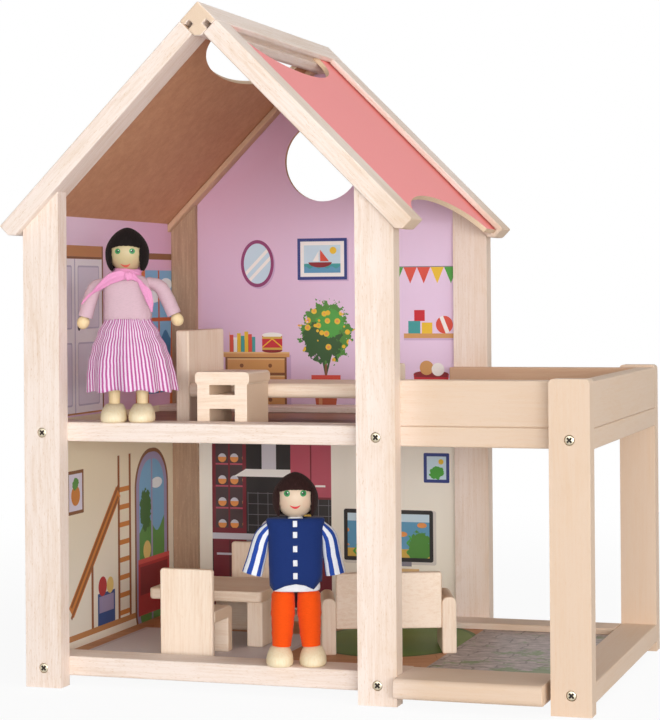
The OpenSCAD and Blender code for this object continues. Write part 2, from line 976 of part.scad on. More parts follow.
post_front_left();
post_front_right();
post_rear_left();
post_rear_right();
terrace_post_front();
terrace_post_rear();
ridge_beam();
rafter_front_left();
rafter_front_right();
rafter_rear_left();
rafter_rear_right();
roof_panel_left();
roof_panel_right();
side_wall();
back_wall();
ground_floor();
upper_floor();
ground_rail_front();
ground_rail_back();
ground_rail_right();
step_board();
upper_rail_front();
upper_rail_back();
upper_rail_right();
parapet_front();
parapet_right();
parapet_back();
frame_screws();
bed_headboard();
bed_base();
bed_footboard();
side_table();
table_top();
table_legs();
chair_1_back();
chair_1_seat();
chair_2_back();
chair_2_seat();
sofa_back();
sofa_seat();
sofa_arms();
woman_head();
woman_hair();
woman_blouse();
woman_scarf();
woman_skirt();
woman_arm_left();
woman_arm_right();
woman_leg_left();
woman_leg_right();
boy_head();
boy_hair();
boy_shirt();
boy_vest();
boy_arm_left();
boy_arm_right();
boy_trouser_left();
boy_trouser_right();
boy_foot_left();
boy_foot_right();
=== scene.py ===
"""Wooden dollhouse: the looks, light and camera for its solid parts."""

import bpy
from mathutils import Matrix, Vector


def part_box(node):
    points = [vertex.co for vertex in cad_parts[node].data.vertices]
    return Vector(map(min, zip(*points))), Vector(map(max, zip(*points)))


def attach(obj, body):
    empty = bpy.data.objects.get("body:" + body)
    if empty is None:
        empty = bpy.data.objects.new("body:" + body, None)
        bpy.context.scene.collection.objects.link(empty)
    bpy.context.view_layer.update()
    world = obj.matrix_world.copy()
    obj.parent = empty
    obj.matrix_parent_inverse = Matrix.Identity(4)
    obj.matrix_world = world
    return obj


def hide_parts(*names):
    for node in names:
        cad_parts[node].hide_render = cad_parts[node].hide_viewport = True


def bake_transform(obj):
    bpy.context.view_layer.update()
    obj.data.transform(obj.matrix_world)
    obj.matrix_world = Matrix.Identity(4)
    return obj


bl_info = {
    "name": "Wooden Dollhouse",
    "version": (1, 0, 0),
    "blender": (4, 5, 0),
    "location": "View3D > Sidebar > Dollhouse",
    "description": "Dresses the dollhouse's solids with wood, printed board and cloth",
    "category": "Object",
}

import math
from types import SimpleNamespace

import bmesh
import bpy
from bpy.props import FloatProperty, FloatVectorProperty, IntProperty, PointerProperty
from mathutils import Matrix, Vector

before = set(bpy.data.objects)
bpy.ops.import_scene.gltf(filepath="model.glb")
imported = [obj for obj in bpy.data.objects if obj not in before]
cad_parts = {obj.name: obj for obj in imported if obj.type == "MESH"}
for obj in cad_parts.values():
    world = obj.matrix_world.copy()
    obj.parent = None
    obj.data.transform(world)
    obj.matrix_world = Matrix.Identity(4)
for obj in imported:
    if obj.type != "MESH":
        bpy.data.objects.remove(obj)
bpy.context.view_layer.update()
MM = 0.001
# The house's lower left front corner, where the millimetres of its prints begin
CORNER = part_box("post_front_left")[0]


def linear(hex_code):
    """A colour as the shaders need it, from its usual six-figure code."""
    parts = [int(hex_code[i:i + 2], 16) / 255 for i in (1, 3, 5)]
    return [p / 12.92 if p <= 0.04045 else ((p + 0.055) / 1.055) ** 2.4 for p in parts]


def paint(name, hex_code, description):
    """A colour setting."""
    return FloatVectorProperty(name=name, description=description, subtype="COLOR", size=3,
                               min=0, max=1, default=linear(hex_code))


def length(name, value, description):
    """A setting in millimetres."""
    return FloatProperty(name=name, description=description, default=value, min=0)


# ---- Settings

class TimberSettings(bpy.types.PropertyGroup):
    """The pale timber of the frame and the furniture."""
    light: paint("Light wood", "#F4E4D9", "Colour between the grain lines")
    dark: paint("Grain", "#D9B999", "Colour of the grain lines and flecks")
    end_grain: paint("End grain", "#EDD9C4", "Colour of cut ends")
    # The terrace wood is darker partly as the wood's own tone and partly as painted shade
    terrace: paint("Terrace wood", "#DCC3AC", "Colour of the darker timber of the terrace")
    # The rear wood colour is darker as painted shade, for the pieces at the back
    rear: paint("Rear post", "#CFA88A", "Colour of the darkest timber, at the rear left")
    board_light: paint("Furniture wood", "#FBE8D4", "Colour of the furniture's wood")
    board_dark: paint("Furniture grain", "#E2BE9A", "Colour of the furniture's grain")
    eased: length("Eased edge", 0.8, "Radius of the eased edges of the timber, in mm")
    furniture_eased: length("Furniture edge", 1.1, "Radius of the furniture's edges, in mm")


class BoardSettings(bpy.types.PropertyGroup):
    """Walls, floors and roof."""
    roof_red: paint("Roof red", "#FF9C9B", "Colour of the roof's outer face")
    # Painted shade on the roof towards its rear edge, where it meets the rafter
    roof_groove_shade: paint("Roof groove", "#F2624F", "Colour of the roof along its grooves")
    hardboard: paint("Hardboard", "#DAA57F", "Colour of the boards' plain faces")
    hardboard_dark: paint("Hardboard fibres", "#B57D5B", "Colour of the fibres in them")
    cut_edge: paint("Board edge", "#EBD2B4", "Colour of a board's cut edge")
    lilac: paint("Upper wall", "#F0D6F2", "Colour of the upper room's walls")
    # Painted shade on the upper walls, towards the left and the roof
    upper_wall_painted_shade: paint("Upper wall shade", "#DBADC6", "Colour of the upper wall under the roof")
    cream: paint("Lower wall", "#FDF6E6", "Colour of the lower room's walls")
    plank: paint("Lower floor", "#D39A6C", "Colour of the lower room's planks")
    upper_plank: paint("Upper floor", "#A87A5C", "Colour of the upper room's planks")
    stone: paint("Patio", "#CDBFBC", "Colour of the patio's slabs")


class DollSettings(bpy.types.PropertyGroup):
    """The two dolls and their clothes."""
    woman_turn: FloatProperty(name="Woman's turn", description="How far the woman faces right",
                              subtype="ANGLE", default=math.radians(16))
    boy_turn: FloatProperty(name="Boy's turn", description="How far the boy faces right",
                            subtype="ANGLE", default=math.radians(19))
    head: length("Head radius", 11, "Radius of a doll's head, in mm")
    skin: paint("Skin", "#EDD7AF", "Colour of the faces")
    hand: paint("Hands", "#EBD3A6", "Colour of the hands and legs")
    shoe: paint("Shoes", "#F0E0BE", "Colour of the wooden shoes")
    green: paint("Eyes", "#2F8B4B", "Colour of the eyes")
    woman_hair: paint("Woman's hair", "#140D0C", "Colour of her hair")
    boy_hair: paint("Boy's hair", "#2A1614", "Colour of his hair")
    scarf: paint("Scarf", "#EFA0CB", "Colour of her scarf")
    blouse: paint("Blouse", "#D9B8C2", "Colour of her blouse")
    stripe: paint("Skirt stripe", "#BE5C9A", "Colour of the skirt's stripes")
    skirt: paint("Skirt", "#EFD9EC", "Colour between the skirt's stripes")
    vest: paint("Vest", "#1C336F", "Colour of his vest")
    sleeve: paint("Sleeve stripe", "#2B4DA6", "Colour of the stripes on his sleeves")
    trousers: paint("Trousers", "#F9560F", "Colour of his trousers")
    skirt_folds: IntProperty(name="Skirt folds", description="Number of folds round the hem",
                             default=11, min=4, max=24)


class StageSettings(bpy.types.PropertyGroup):
    """Camera and light."""
    lens: FloatProperty(name="Lens", description="Focal length on a 36 mm sensor", default=111.43)
    key: FloatProperty(name="Key light", description="Strength of the large front lamp", default=9.0)
    low: FloatProperty(name="Low light", description="Strength of the wide low lamp that reaches indoors",
                       default=23.0)
    side: FloatProperty(name="Side light", description="Strength of the lamp on the right", default=13.0)
    top: FloatProperty(name="Top light", description="Strength of the lamp above", default=11.0)
    sky: FloatProperty(name="Room light", description="Strength of the light from all round", default=0.13)
    shadow: FloatProperty(name="Floor white", description="How far the floor's shadow fades to white",
                          default=0.93, min=0, max=1)


SETTINGS = {"dollhouse_timber": TimberSettings, "dollhouse_boards": BoardSettings,
            "dollhouse_dolls": DollSettings, "dollhouse_stage": StageSettings}


# ---- Shader tools

class Value:
    """A socket of a material, which can stand in a sum."""

    def __init__(self, shader, socket):
        self.shader = shader
        self.socket = socket

    def sum(self, operation, *terms):
        """One Math node."""
        return self.shader.node("ShaderNodeMath", {"operation": operation}, dict(enumerate(terms)))

    def __add__(self, other):
        return self.sum("ADD", self, other)

    __radd__ = __add__

    def __sub__(self, other):
        return self.sum("SUBTRACT", self, other)

    def __rsub__(self, other):
        return self.sum("SUBTRACT", other, self)

    def __mul__(self, other):
        return self.sum("MULTIPLY", self, other)

    __rmul__ = __mul__

    def __truediv__(self, other):
        return self.sum("DIVIDE", self, other)

    def __abs__(self):
        return self.sum("ABSOLUTE", self)

    def __gt__(self, other):
        return self.sum("GREATER_THAN", self, other)

    def __lt__(self, other):
        return self.sum("LESS_THAN", self, other)

    def __pow__(self, other):
        return self.sum("POWER", self, other)

    def least(self, other):
        """The smaller of the two."""
        return self.sum("MINIMUM", self, other)

    def most(self, other):
        """The larger of the two."""
        return self.sum("MAXIMUM", self, other)

    def part(self):
        """What is left after the whole number."""
        return self.sum("FRACT", self)

    def whole(self):
        """The whole number below."""
        return self.sum("FLOOR", self)

    def wave(self):
        """A sine of this many turns."""
        return self.sum("SINE", self * (2 * math.pi))

    def ease(self, low, high):
        """0 below low, 1 above high, and smooth between."""
        return self.shader.node("ShaderNodeMapRange", {"interpolation_type": "SMOOTHSTEP"},
                                {"Value": self, "From Min": low, "From Max": high})

    def within(self, low, high):
        """1 between the two."""
        return (self > low) * (self < high)


class Shader:
    """The nodes of one material, round a Principled shader."""

    def __init__(self, name, **constants):
        self.material = bpy.data.materials.new(name)
        self.material.use_nodes = True
        self.tree = self.material.node_tree
        self.tree.nodes.clear()
        self.surface = self.tree.nodes.new("ShaderNodeBsdfPrincipled")
        out = self.tree.nodes.new("ShaderNodeOutputMaterial")
        self.tree.links.new(self.surface.outputs[0], out.inputs["Surface"])
        for socket, value in constants.items():
            self.give(socket.replace("_", " "), value)

    def feed(self, socket, value):
        """Links a value to a socket, or sets it."""
        if isinstance(value, Value):
            self.tree.links.new(value.socket, socket)
        elif socket.type == "RGBA" and len(value) == 3:
            socket.default_value = (*value, 1)
        else:
            socket.default_value = value

    def give(self, socket, value):
        """Feeds the Principled shader."""
        self.feed(self.surface.inputs[socket], value)

    def node(self, kind, settings=None, inputs=None, output=0):
        """Any node: its settings first, then its sockets."""
        node = self.tree.nodes.new(kind)
        for name, value in (settings or {}).items():
            setattr(node, name, value)
        for socket, value in (inputs or {}).items():
            self.feed(node.inputs[socket], value)
        return Value(self, node.outputs[output])

    def mix(self, factor, first, second):
        """Blends two colours."""
        return self.node("ShaderNodeMix", {"data_type": "RGBA"}, {0: factor, 6: first, 7: second}, 2)

    def layers(self, base, *layers):
        """Paints one colour over another, each where its mask is 1."""
        for mask, colour in layers:
            base = self.mix(mask, base, colour)
        return base

    def place(self, centre=(0, 0, 0), turn=(0, 0, 0)):
        """Object coordinates in mm, from a centre and turned with a piece."""
        spot = self.node("ShaderNodeTexCoord", output="Object")
        return self.node("ShaderNodeMapping", {"vector_type": "TEXTURE"},
                         {"Vector": spot, "Location": centre, "Rotation": turn, "Scale": (MM, MM, MM)})

    def split(self, vector):
        """The three parts of a vector."""
        node = self.tree.nodes.new("ShaderNodeSeparateXYZ")
        self.feed(node.inputs[0], vector)
        return [Value(self, output) for output in node.outputs]

    def join(self, x, y, z):
        """A vector from three parts."""
        return self.node("ShaderNodeCombineXYZ", inputs={0: x, 1: y, 2: z})

    def noise(self, x, y, z, detail, rough=0.5):
        """Soft noise from 0 to 1, with a figure one unit wide."""
        return self.node("ShaderNodeTexNoise", inputs={
            "Vector": self.join(x, y, z), "Scale": 1, "Detail": detail, "Roughness": rough})

    def cells(self, x, y, z):
        """Distance to the nearest of many scattered points, one to each unit."""
        return self.node("ShaderNodeTexVoronoi", inputs={"Vector": self.join(x, y, z), "Scale": 1})

    def bump(self, height, depth, strength):
        """Raises the surface by up to depth in mm."""
        self.give("Normal", self.node("ShaderNodeBump", inputs={
            "Height": height, "Distance": depth * MM, "Strength": strength}))


def rectangle(u, v, u0, u1, v0, v1):
    """Mask of a rectangle."""
    return u.within(u0, u1) * v.within(v0, v1)


def disc(u, v, cu, cv, ru, rv=None):
    """Mask of a disc or an oval."""
    du = (u - cu) / ru
    dv = (v - cv) / (rv or ru)
    return (du * du + dv * dv) < 1


def rounded(u, v, cu, cv, hu, hv, r):
    """Mask of a rectangle with round corners."""
    du = (abs(u - cu) - (hu - r)).most(0)
    dv = (abs(v - cv) - (hv - r)).most(0)
    return (du * du + dv * dv) < r * r


# ---- Materials

# Where the prints change from a room to the open, in mm from the house's left side, and where the upper
# room's walls begin, in mm over its foot. The pale wood turns darker over a short way, partly its own tone
# and partly painted shade.
PATIO_X = 222
DECK_X = 215
UPPER_Z = 150
TERRACE_TONE_AND_SHADE = (200, 240)

# How a pattern along x is turned to run along each direction
GRAIN = {"x": (0, 0, 0), "y": (0, 0, math.radians(90)), "z": (0, math.radians(-90), 0),
         "left": (0, math.radians(-45), 0), "right": (0, math.radians(45), 0)}


def wood(name, along, light, dark, end, seed, ring=0.16, fleck=0.5, far=None):
    """Pale close-grained wood with its grain along one direction; far is its colour out on the terrace,
    partly its own tone and partly painted shade.
    """
    s = Shader(name, Roughness=0.58, Specular_IOR_Level=0.35)
    run, wide, deep = s.split(s.place(turn=GRAIN[along]))
    drift = s.noise(run * 0.011 + seed, wide * 0.035, deep * 0.035, 2)
    radius = ((wide + 41) * (wide + 41) + (deep + 57) * (deep + 57)) ** 0.5 + drift * 34
    rings = ((radius / 3.1).wave() * 0.5 + 0.5).ease(0.25, 1.0)
    fine = s.noise(run * 0.12, wide * 2.4, deep * 2.4, 3)
    flecks = s.noise(run * 0.42, wide * 2.9, deep * 2.9 + 9, 1).ease(0.62, 0.74)
    cloudy = s.noise(run * 0.02 + 5 + seed, wide * 0.07, deep * 0.07, 2).ease(0.3, 0.75)
    tone = rings * ring * s.noise(run * 0.02, wide * 0.05, deep * 0.05, 1).ease(0.35, 0.7)
    streaks = s.noise(run * 0.025 + 3, wide * 0.8, deep * 0.8, 2)
    tone = tone + flecks * fleck + (fine - 0.5) * 0.6 + (streaks - 0.5) * 0.9 + cloudy * 0.22
    tone = tone.most(0).least(1)
    # Darker towards the terrace: partly the wood's tone, partly painted shade
    if far:
        out = s.split(s.place(CORNER))[0].ease(*TERRACE_TONE_AND_SHADE)
        light = s.mix(out, light, far)
    normal = s.node("ShaderNodeTexCoord", output="Normal")
    facing = s.node("ShaderNodeMapping", {"vector_type": "TEXTURE"},
                    {"Vector": normal, "Rotation": GRAIN[along]})
    cut = abs(s.split(facing)[0]).ease(0.75, 0.9)
    speckle = s.noise(run, wide * 3.2, deep * 3.2, 2)
    s.give("Base Color", s.mix(cut, s.mix(tone, light, dark), s.mix(speckle, end, dark)))
    s.give("Roughness", fine * 0.2 + 0.5)
    s.bump(fine + flecks * -0.4, 0.12, 0.35)
    return s.material


def hardboard():
    """Brown pressed fibre board, for the faces without a print."""
    b = bpy.context.scene.dollhouse_boards
    s = Shader("hardboard", Roughness=0.7, Specular_IOR_Level=0.25)
    x, y, z = s.split(s.place())
    blots = s.noise(x * 0.16, y * 0.16, z * 0.16, 4, 0.65)
    fibres = s.noise(x * 1.1, y * 1.1, z * 1.1, 3, 0.7)
    broad = s.noise(x * 0.02, y * 0.02, z * 0.02, 2)
    tone = (blots * 0.9 + fibres * 0.5 + broad * 0.5 - 0.5).least(1).most(0)
    s.give("Base Color", s.mix(tone, b.hardboard, b.hardboard_dark))
    s.give("Roughness", fibres * 0.25 + 0.55)
    s.bump(fibres, 0.08, 0.4)
    return s.material


def board_edge():
    """The cut edge of a fibre board."""
    b = bpy.context.scene.dollhouse_boards
    s = Shader("board_edge", Roughness=0.75)
    x, y, z = s.split(s.place())
    fibres = s.noise(x * 2, y * 2, z * 2, 3)
    s.give("Base Color", s.mix(fibres.ease(0.4, 0.8) * 0.5, b.cut_edge, b.hardboard))
    s.bump(fibres, 0.1, 0.4)
    return s.material


def roof_paint():
    """Matt red lacquer, darkened as painted shade towards the rear edge, where it meets the rafter."""
    b = bpy.context.scene.dollhouse_boards
    s = Shader("roof_paint", Roughness=0.5, Specular_IOR_Level=0.12)
    x, y, z = s.split(s.place(CORNER))
    mottle = s.noise(x * 0.9, y * 0.9, z * 0.9, 3)
    broad = s.noise(x * 0.012, y * 0.012, z * 0.012, 1)
    # Painted shade towards the rear edge, and a painted dark line where the panel meets the rafter
    near = y.ease(176, 199) ** 2
    edge = y.ease(192, 197)
    colour = s.mix(near * 0.75 + mottle * 0.1, b.roof_red, b.roof_groove_shade)
    s.give("Base Color", s.layers(colour, (edge * 0.7, linear("#A8302C")),
                                  (broad * 0.12, linear("#F4A9A4"))))
    s.give("Roughness", mottle * 0.12 + 0.46)
    s.bump(mottle, 0.05, 0.25)
    return s.material


def steel():
    """Bright zinc of the screws."""
    s = Shader("screw_steel", Metallic=1.0, Roughness=0.32)
    x, y, z = s.split(s.place())
    scratch = s.noise(x * 2.5, y * 2.5, z * 2.5, 3)
    s.give("Base Color", s.mix(scratch, linear("#E2D8C2"), linear("#B5A88E")))
    s.give("Roughness", scratch * 0.25 + 0.22)
    return s.material


# ---- Prints

def planks(s, along, across, pitch, run, light, seam):
    """Floor boards: a tone for each board and dark seams between them."""
    row = (across / pitch).whole()
    shift = (row * 0.618).part() * run
    cell = ((along + shift) / run).whole()
    tone = s.node("ShaderNodeTexWhiteNoise", {"noise_dimensions": "2D"}, {"Vector": s.join(row, cell, 0)})
    figure = s.noise(along * 0.05, across * 0.9, row * 3.7 + cell, 3)
    gap = ((across / pitch).part() < 0.06).most(((along + shift) / run).part() * run < 0.5)
    return s.layers(light, (tone * 0.4, seam), (figure.ease(0.3, 0.8) * 0.35, seam), (gap * 0.75, seam))


def print_finish(s, x, y, z, colour):
    """Colour, sheen and faint dots of a printed board."""
    dots = s.noise(x * 3, y * 3, z * 3, 1)
    soft = s.noise(x * 0.03, y * 0.03, z * 0.03, 2)
    s.give("Base Color", s.layers(colour, (dots.ease(0.55, 0.9) * 0.05, (0, 0, 0)),
                                  (soft * 0.06, (1, 1, 1))))
    s.give("Roughness", dots * 0.12 + 0.42)
    s.bump(dots, 0.03, 0.2)
    return s.material


def leafy(s, u, v, cu, cv, ru, rv, seed):
    """Mask of a bush with a ragged outline."""
    ragged = s.noise(u * 0.3, v * 0.3, seed, 3, 0.6)
    du = (u - cu) / ru
    dv = (v - cv) / rv
    return (du * du + dv * dv + (ragged - 0.5) * 1.8) < 0.8


def slope(u, v, u0, v0, u1, v1, half):
    """Mask of a straight line of a half width between two points."""
    long = math.hypot(u1 - u0, v1 - v0)
    along, across = (u1 - u0) / long, (v1 - v0) / long
    run = (u - u0) * along + (v - v0) * across
    return (abs((v - v0) * along - (u - u0) * across) < half) * run.within(0, long)


def palette(**codes):
    """Named colours from their usual codes."""
    return SimpleNamespace(**{name: linear(code) for name, code in codes.items()})


class Face:
    """A printed face, for shapes that are each painted in one colour: a mask and its colour."""

    def __init__(self, u, v):
        self.u, self.v = u, v

    def shape(self, mask, colour, strength):
        """A mask, made fainter where its strength is under 1, with its colour."""
        return (mask if strength == 1 else mask * strength), colour

    def box(self, colour, *edges, strength=1):
        """A rectangle: left, right, bottom and top."""
        return self.shape(rectangle(self.u, self.v, *edges), colour, strength)

    def dot(self, colour, *sizes, strength=1):
        """A disc or an oval: its middle and its half width, and half height if that differs."""
        return self.shape(disc(self.u, self.v, *sizes), colour, strength)

    def slab(self, colour, *sizes, strength=1):
        """A round-cornered rectangle: its middle, half width, half height and corner."""
        return self.shape(rounded(self.u, self.v, *sizes), colour, strength)


def back_wall_print():
    """The back wall: a lilac bedroom above and a cream room with a red kitchen below."""
    b = bpy.context.scene.dollhouse_boards
    s = Shader("back_wall_print", Roughness=0.45, Specular_IOR_Level=0.25)
    x, y, z = s.split(s.place(CORNER))
    f = Face(x, z)
    c = palette(
        oak="#D9A05F", oak_dark="#8A5530", oak_light="#EBC288", red="#CF2230", dark_red="#8E1622",
        yellow="#F2C62E", leaf="#4F8F35", dark_leaf="#2F5A26", plum="#93396F", sky="#CFE6F4", sea="#5F9FC4",
        navy="#2B3A85", wine="#7A1A2A", rose="#BE5064", night="#1B1517", steel="#D4D2DC", orange="#EE9A4F",
        white="#FBF8F4", green="#4CA83E", coral="#E2503C", teal="#3FA0A0", pot="#C7603A", shade="#B58FC0",
        gold="#D9B34A", glass="#4A3538", grey="#8F8A94")
    top = z > UPPER_Z
    # The upper wall darkens towards the left and the top: painted shade under the roof
    left = 1 - x.ease(0, 190)
    high = z.ease(235, 335)
    lilac = s.mix((left * 0.6 + high * 0.5 + left * high * 0.3).least(1), b.lilac, b.upper_wall_painted_shade)
    wall = s.mix(top, s.mix(z.ease(28, 140) * 0.3, b.cream, (1, 1, 1)), lilac)

    # Chest of drawers with books and a toy drum
    spine = ((x / 2.6).whole() * 0.618).part()
    books = s.mix(spine > 0.7, s.mix(spine > 0.4, s.mix(spine > 0.2, c.white, c.teal), c.coral), c.yellow)
    drawer = ((z - 147) / 11.2).part() * 11.2
    chest = rectangle(x, z, 42.5, 82.5, 147, 180.6)
    wall = s.layers(
        wall, f.box(c.shade, 38, 88, 146, 150, strength=0.5),
        f.box(c.shade, 84, 87, 148, 182, strength=0.5), f.box(c.oak_dark, 41, 84, 147, 181),
        f.box(c.oak, 39, 86, 180.6, 184), f.box(c.oak_light, 39, 86, 183, 184),
        (chest * drawer.within(1, 10.4), c.oak), (chest * drawer.within(9.4, 10.4), c.oak_light),
        (disc(abs(x - 62.5), drawer, 10, 5.6, 1.3) * chest, c.oak_dark),
        (rectangle(x, z, 44, 62.2, 184, 197.5) * (z < 193 + spine * 4.5), books),
        (rectangle(x, z, 44, 62.2, 184, 192) * ((x / 2.6).part() < 0.12) * 0.6, c.oak_dark),
        f.box(c.red, 67, 81, 185, 195), f.dot(c.white, 74, 195, 7, 1.8), f.dot(c.dark_red, 74, 185, 7, 1.6),
        f.box(c.gold, 67, 81, 185.4, 186.8), f.box(c.gold, 67, 81, 192.6, 194),
        (slope(x, z, 67, 187, 74, 192.6, 0.35).most(slope(x, z, 74, 192.6, 81, 187, 0.35)), c.yellow))

    # A leafy plant in blossom
    petal = s.cells(x * 0.17, z * 0.17, 2)
    crown = leafy(s, x, z, 111, 197, 19, 22, 1.7)
    wall = s.layers(
        wall, f.box(c.shade, 102, 121, 145, 149, strength=0.4),
        (((abs(x - 111) < 6.5 + (z - 147) * 0.14) * z.within(147, 168)), c.pot),
        (((abs(x - 111) < 10) * z.within(165, 169)), c.coral),
        (((x - 111).within(-5, -2.6)) * z.within(148, 165) * 0.5, c.oak_light),
        (slope(x, z, 111, 169, 106, 195, 0.7), c.dark_leaf),
        (slope(x, z, 111, 169, 117, 192, 0.7), c.dark_leaf),
        (slope(x, z, 111, 169, 111, 200, 0.8), c.oak_dark), (crown, c.leaf),
        (crown * leafy(s, x, z, 108, 190, 15, 16, 6.1), c.dark_leaf),
        (leafy(s, x, z, 114, 203, 10, 10, 3.3), c.green), (crown * (petal < 0.34), c.yellow),
        (crown * (petal < 0.17), c.orange))

    # An oval mirror, a picture of a boat, a shelf of toys under a row of flags, and a basket
    flags = ((x - 164) / 9).part()
    flag_row = ((x - 164) / 9).whole()
    basket = (abs(x - 182) < 9 + (z - 147) * 0.12) * z.within(147, 170)
    flag_shape = (abs(flags - 0.5) * 9 < (z - 228) * 0.42) * z.within(228, 238.5) * x.within(155, 203)
    wall = s.layers(
        wall, f.dot(c.shade, 65, 241, 11.5, 15.5, strength=0.5), f.dot(c.plum, 64, 242, 11.5, 15.5),
        f.dot(c.sky, 64, 242, 9.4, 13.2),
        (disc(x, z, 64, 242, 9.4, 13.2) * abs(x - z + 176).within(2, 5), c.white),
        f.box(c.shade, 93, 127, 230, 257, strength=0.5), f.box(c.navy, 92, 126, 231, 258),
        f.box(c.white, 94, 124, 233, 256), f.box(c.sky, 96.5, 121.5, 235.5, 253.5),
        f.box(c.sea, 96.5, 121.5, 235.5, 241.5),
        (rectangle(x, z, 96.5, 121.5, 235.5, 241.5) * ((x / 6).wave() * 0.7 + 239 < z), c.teal),
        f.dot(c.yellow, 116.5, 250, 2.3),
        (((x - 107) * 1.25 + (z - 243) < 8.4) * (x > 107.6) * z.within(243, 251.6), c.coral),
        (((107 - x) * 1.6 + (z - 243) < 7.4) * (x < 106.6) * z.within(243, 250.6), c.white),
        (disc(x, z, 107.6, 242.4, 8, 3.4) * (z < 242.4), c.dark_red), f.box(c.grey, 155, 203, 238.2, 239.1),
        (flag_shape, s.mix(((flag_row * 0.34).part() > 0.5), c.coral, c.yellow)),
        (flag_shape * ((flag_row * 0.26).part() > 0.6), c.green),
        f.box(c.shade, 164, 199, 191.6, 193.6, strength=0.5), f.box(c.oak, 164, 199, 193, 196),
        f.box(c.teal, 167, 175, 196, 204), f.box(c.yellow, 176, 183, 196, 203),
        f.box(c.red, 171, 178, 204, 211), f.dot(c.coral, 191, 201.6, 5.6),
        (disc(x, z, 191, 201.6, 5.6) * abs(x - 191 + (z - 201.6) * 0.4).within(0, 1.4), c.white),
        (basket, c.red), (basket * ((z / 4).part() < 0.2), c.dark_red),
        f.dot(c.dark_red, 182, 170, 11.6, 2.2), f.dot(c.oak, 179, 174, 4.6),
        f.dot(c.white, 186.5, 173, 4.2))

    # Kitchen: a glazed dresser, a stove with its hood, cupboards and a counter
    shelf = ((z - 66) / 14.5).part() * 14.5
    cup = disc((x / 8.5).part() * 8.5, shelf, 4.2, 4.6, 2.9)
    tiles = ((x / 7).part() < 0.06).most((z / 7).part() < 0.06)
    room = 1 - top
    glazing = rectangle(x, z, 33.5, 52.5, 68, 130)
    wall = s.layers(
        wall, (rectangle(x, z, 31, 114, 17, 139) * room, c.night),
        (rectangle(x, z, 56, 114, 66, 92) * tiles * 0.5, c.grey),
        (rectangle(x, z, 31, 55, 64, 139) * room, c.wine), f.box(c.glass, 33.5, 52.5, 68, 130),
        (glazing * cup, c.orange), (glazing * cup * (shelf > 5.2), c.steel),
        (glazing * (shelf < 1.1), c.rose), f.box(c.wine, 42.4, 43.6, 68, 130),
        (rectangle(x, z, 66, 76, 106, 139) * room, c.steel),
        (((abs(x - 71) - (113 - z) * 1.7) < 6) * z.within(102, 107), c.white),
        (rectangle(x, z, 86, 114, 88, 139) * room, c.rose), f.box(c.wine, 86, 114, 88, 89.4),
        (rectangle(x, z, 99.5, 100.5, 88, 139) * room, c.wine), f.box(c.white, 90, 97, 96, 97.3),
        f.box(c.white, 103, 110, 96, 97.3), f.box(c.wine, 31, 114, 17, 61), f.box(c.grey, 55, 88, 17, 61),
        f.box(c.night, 59, 84, 24, 48), f.box(c.steel, 61, 82, 49.4, 51),
        (disc((x / 6).part() * 6, z, 3, 56, 1.6) * x.within(60, 84), c.night),
        f.box(c.steel, 31, 114, 60.5, 64.5),
        ((((x - 31) / 12).part() < 0.05) * rectangle(x, z, 31, 55, 17, 60), c.night),
        ((((x - 89) / 12.5).part() < 0.05) * rectangle(x, z, 89, 114, 17, 60), c.night),
        f.box(c.steel, 34, 52, 50, 51.4), f.box(c.steel, 92, 111, 50, 51.4),
        (disc(x, z, 72, 69, 6.5, 5) * (z > 64.5), c.steel), f.box(c.night, 70.5, 73.5, 73, 75.4),
        f.box(c.gold, 95, 100, 64.5, 78), (disc(x, z, 106, 68, 4.6, 3.6) * (z > 64.5), c.coral))

    # An aquarium, a small picture over it and a plant by the door
    pane = rectangle(x, z, 125, 180, 52, 80)
    fish = disc((x / 13).part() * 13, ((z + (x / 13).whole() * 4) / 10).part() * 10, 6, 5, 3.2, 1.7)
    weed = abs((x / 9).part() * 9 - 4.5 + (z / 6).wave() * 1.1) < 0.8
    wall = s.layers(
        wall, f.slab(c.grey, 153.5, 65, 31, 17.4, 1.5, strength=0.35),
        f.slab(c.night, 152.5, 66, 30, 16.6, 1.5), (pane, c.sea), (pane * (z > 75), c.sky),
        (pane * (z < 57.5), c.gold),
        (pane * weed * (z < 57 + ((x / 9).whole() * 0.37).part() * 14), c.green),
        (pane * fish * z.within(59, 75), c.orange), (pane * leafy(s, x, z, 174, 58, 9, 12, 4.0), c.leaf),
        f.box(c.grey, 137, 168, 46.5, 49.4), f.box(c.oak_light, 132, 173, 17, 45),
        f.box(c.oak, 134, 171, 19, 43), f.box(c.oak_dark, 152, 153, 19, 43),
        f.slab(c.navy, 185, 110, 8.5, 9.5, 0.8), f.box(c.sky, 178.6, 191.4, 102.6, 117.4),
        (leafy(s, x, z, 185, 107, 5.4, 4.6, 8.0) * rectangle(x, z, 178.6, 191.4, 102.6, 117.4), c.green),
        f.dot(c.yellow, 188, 114, 1.7))
    return print_finish(s, x, y, z, wall)


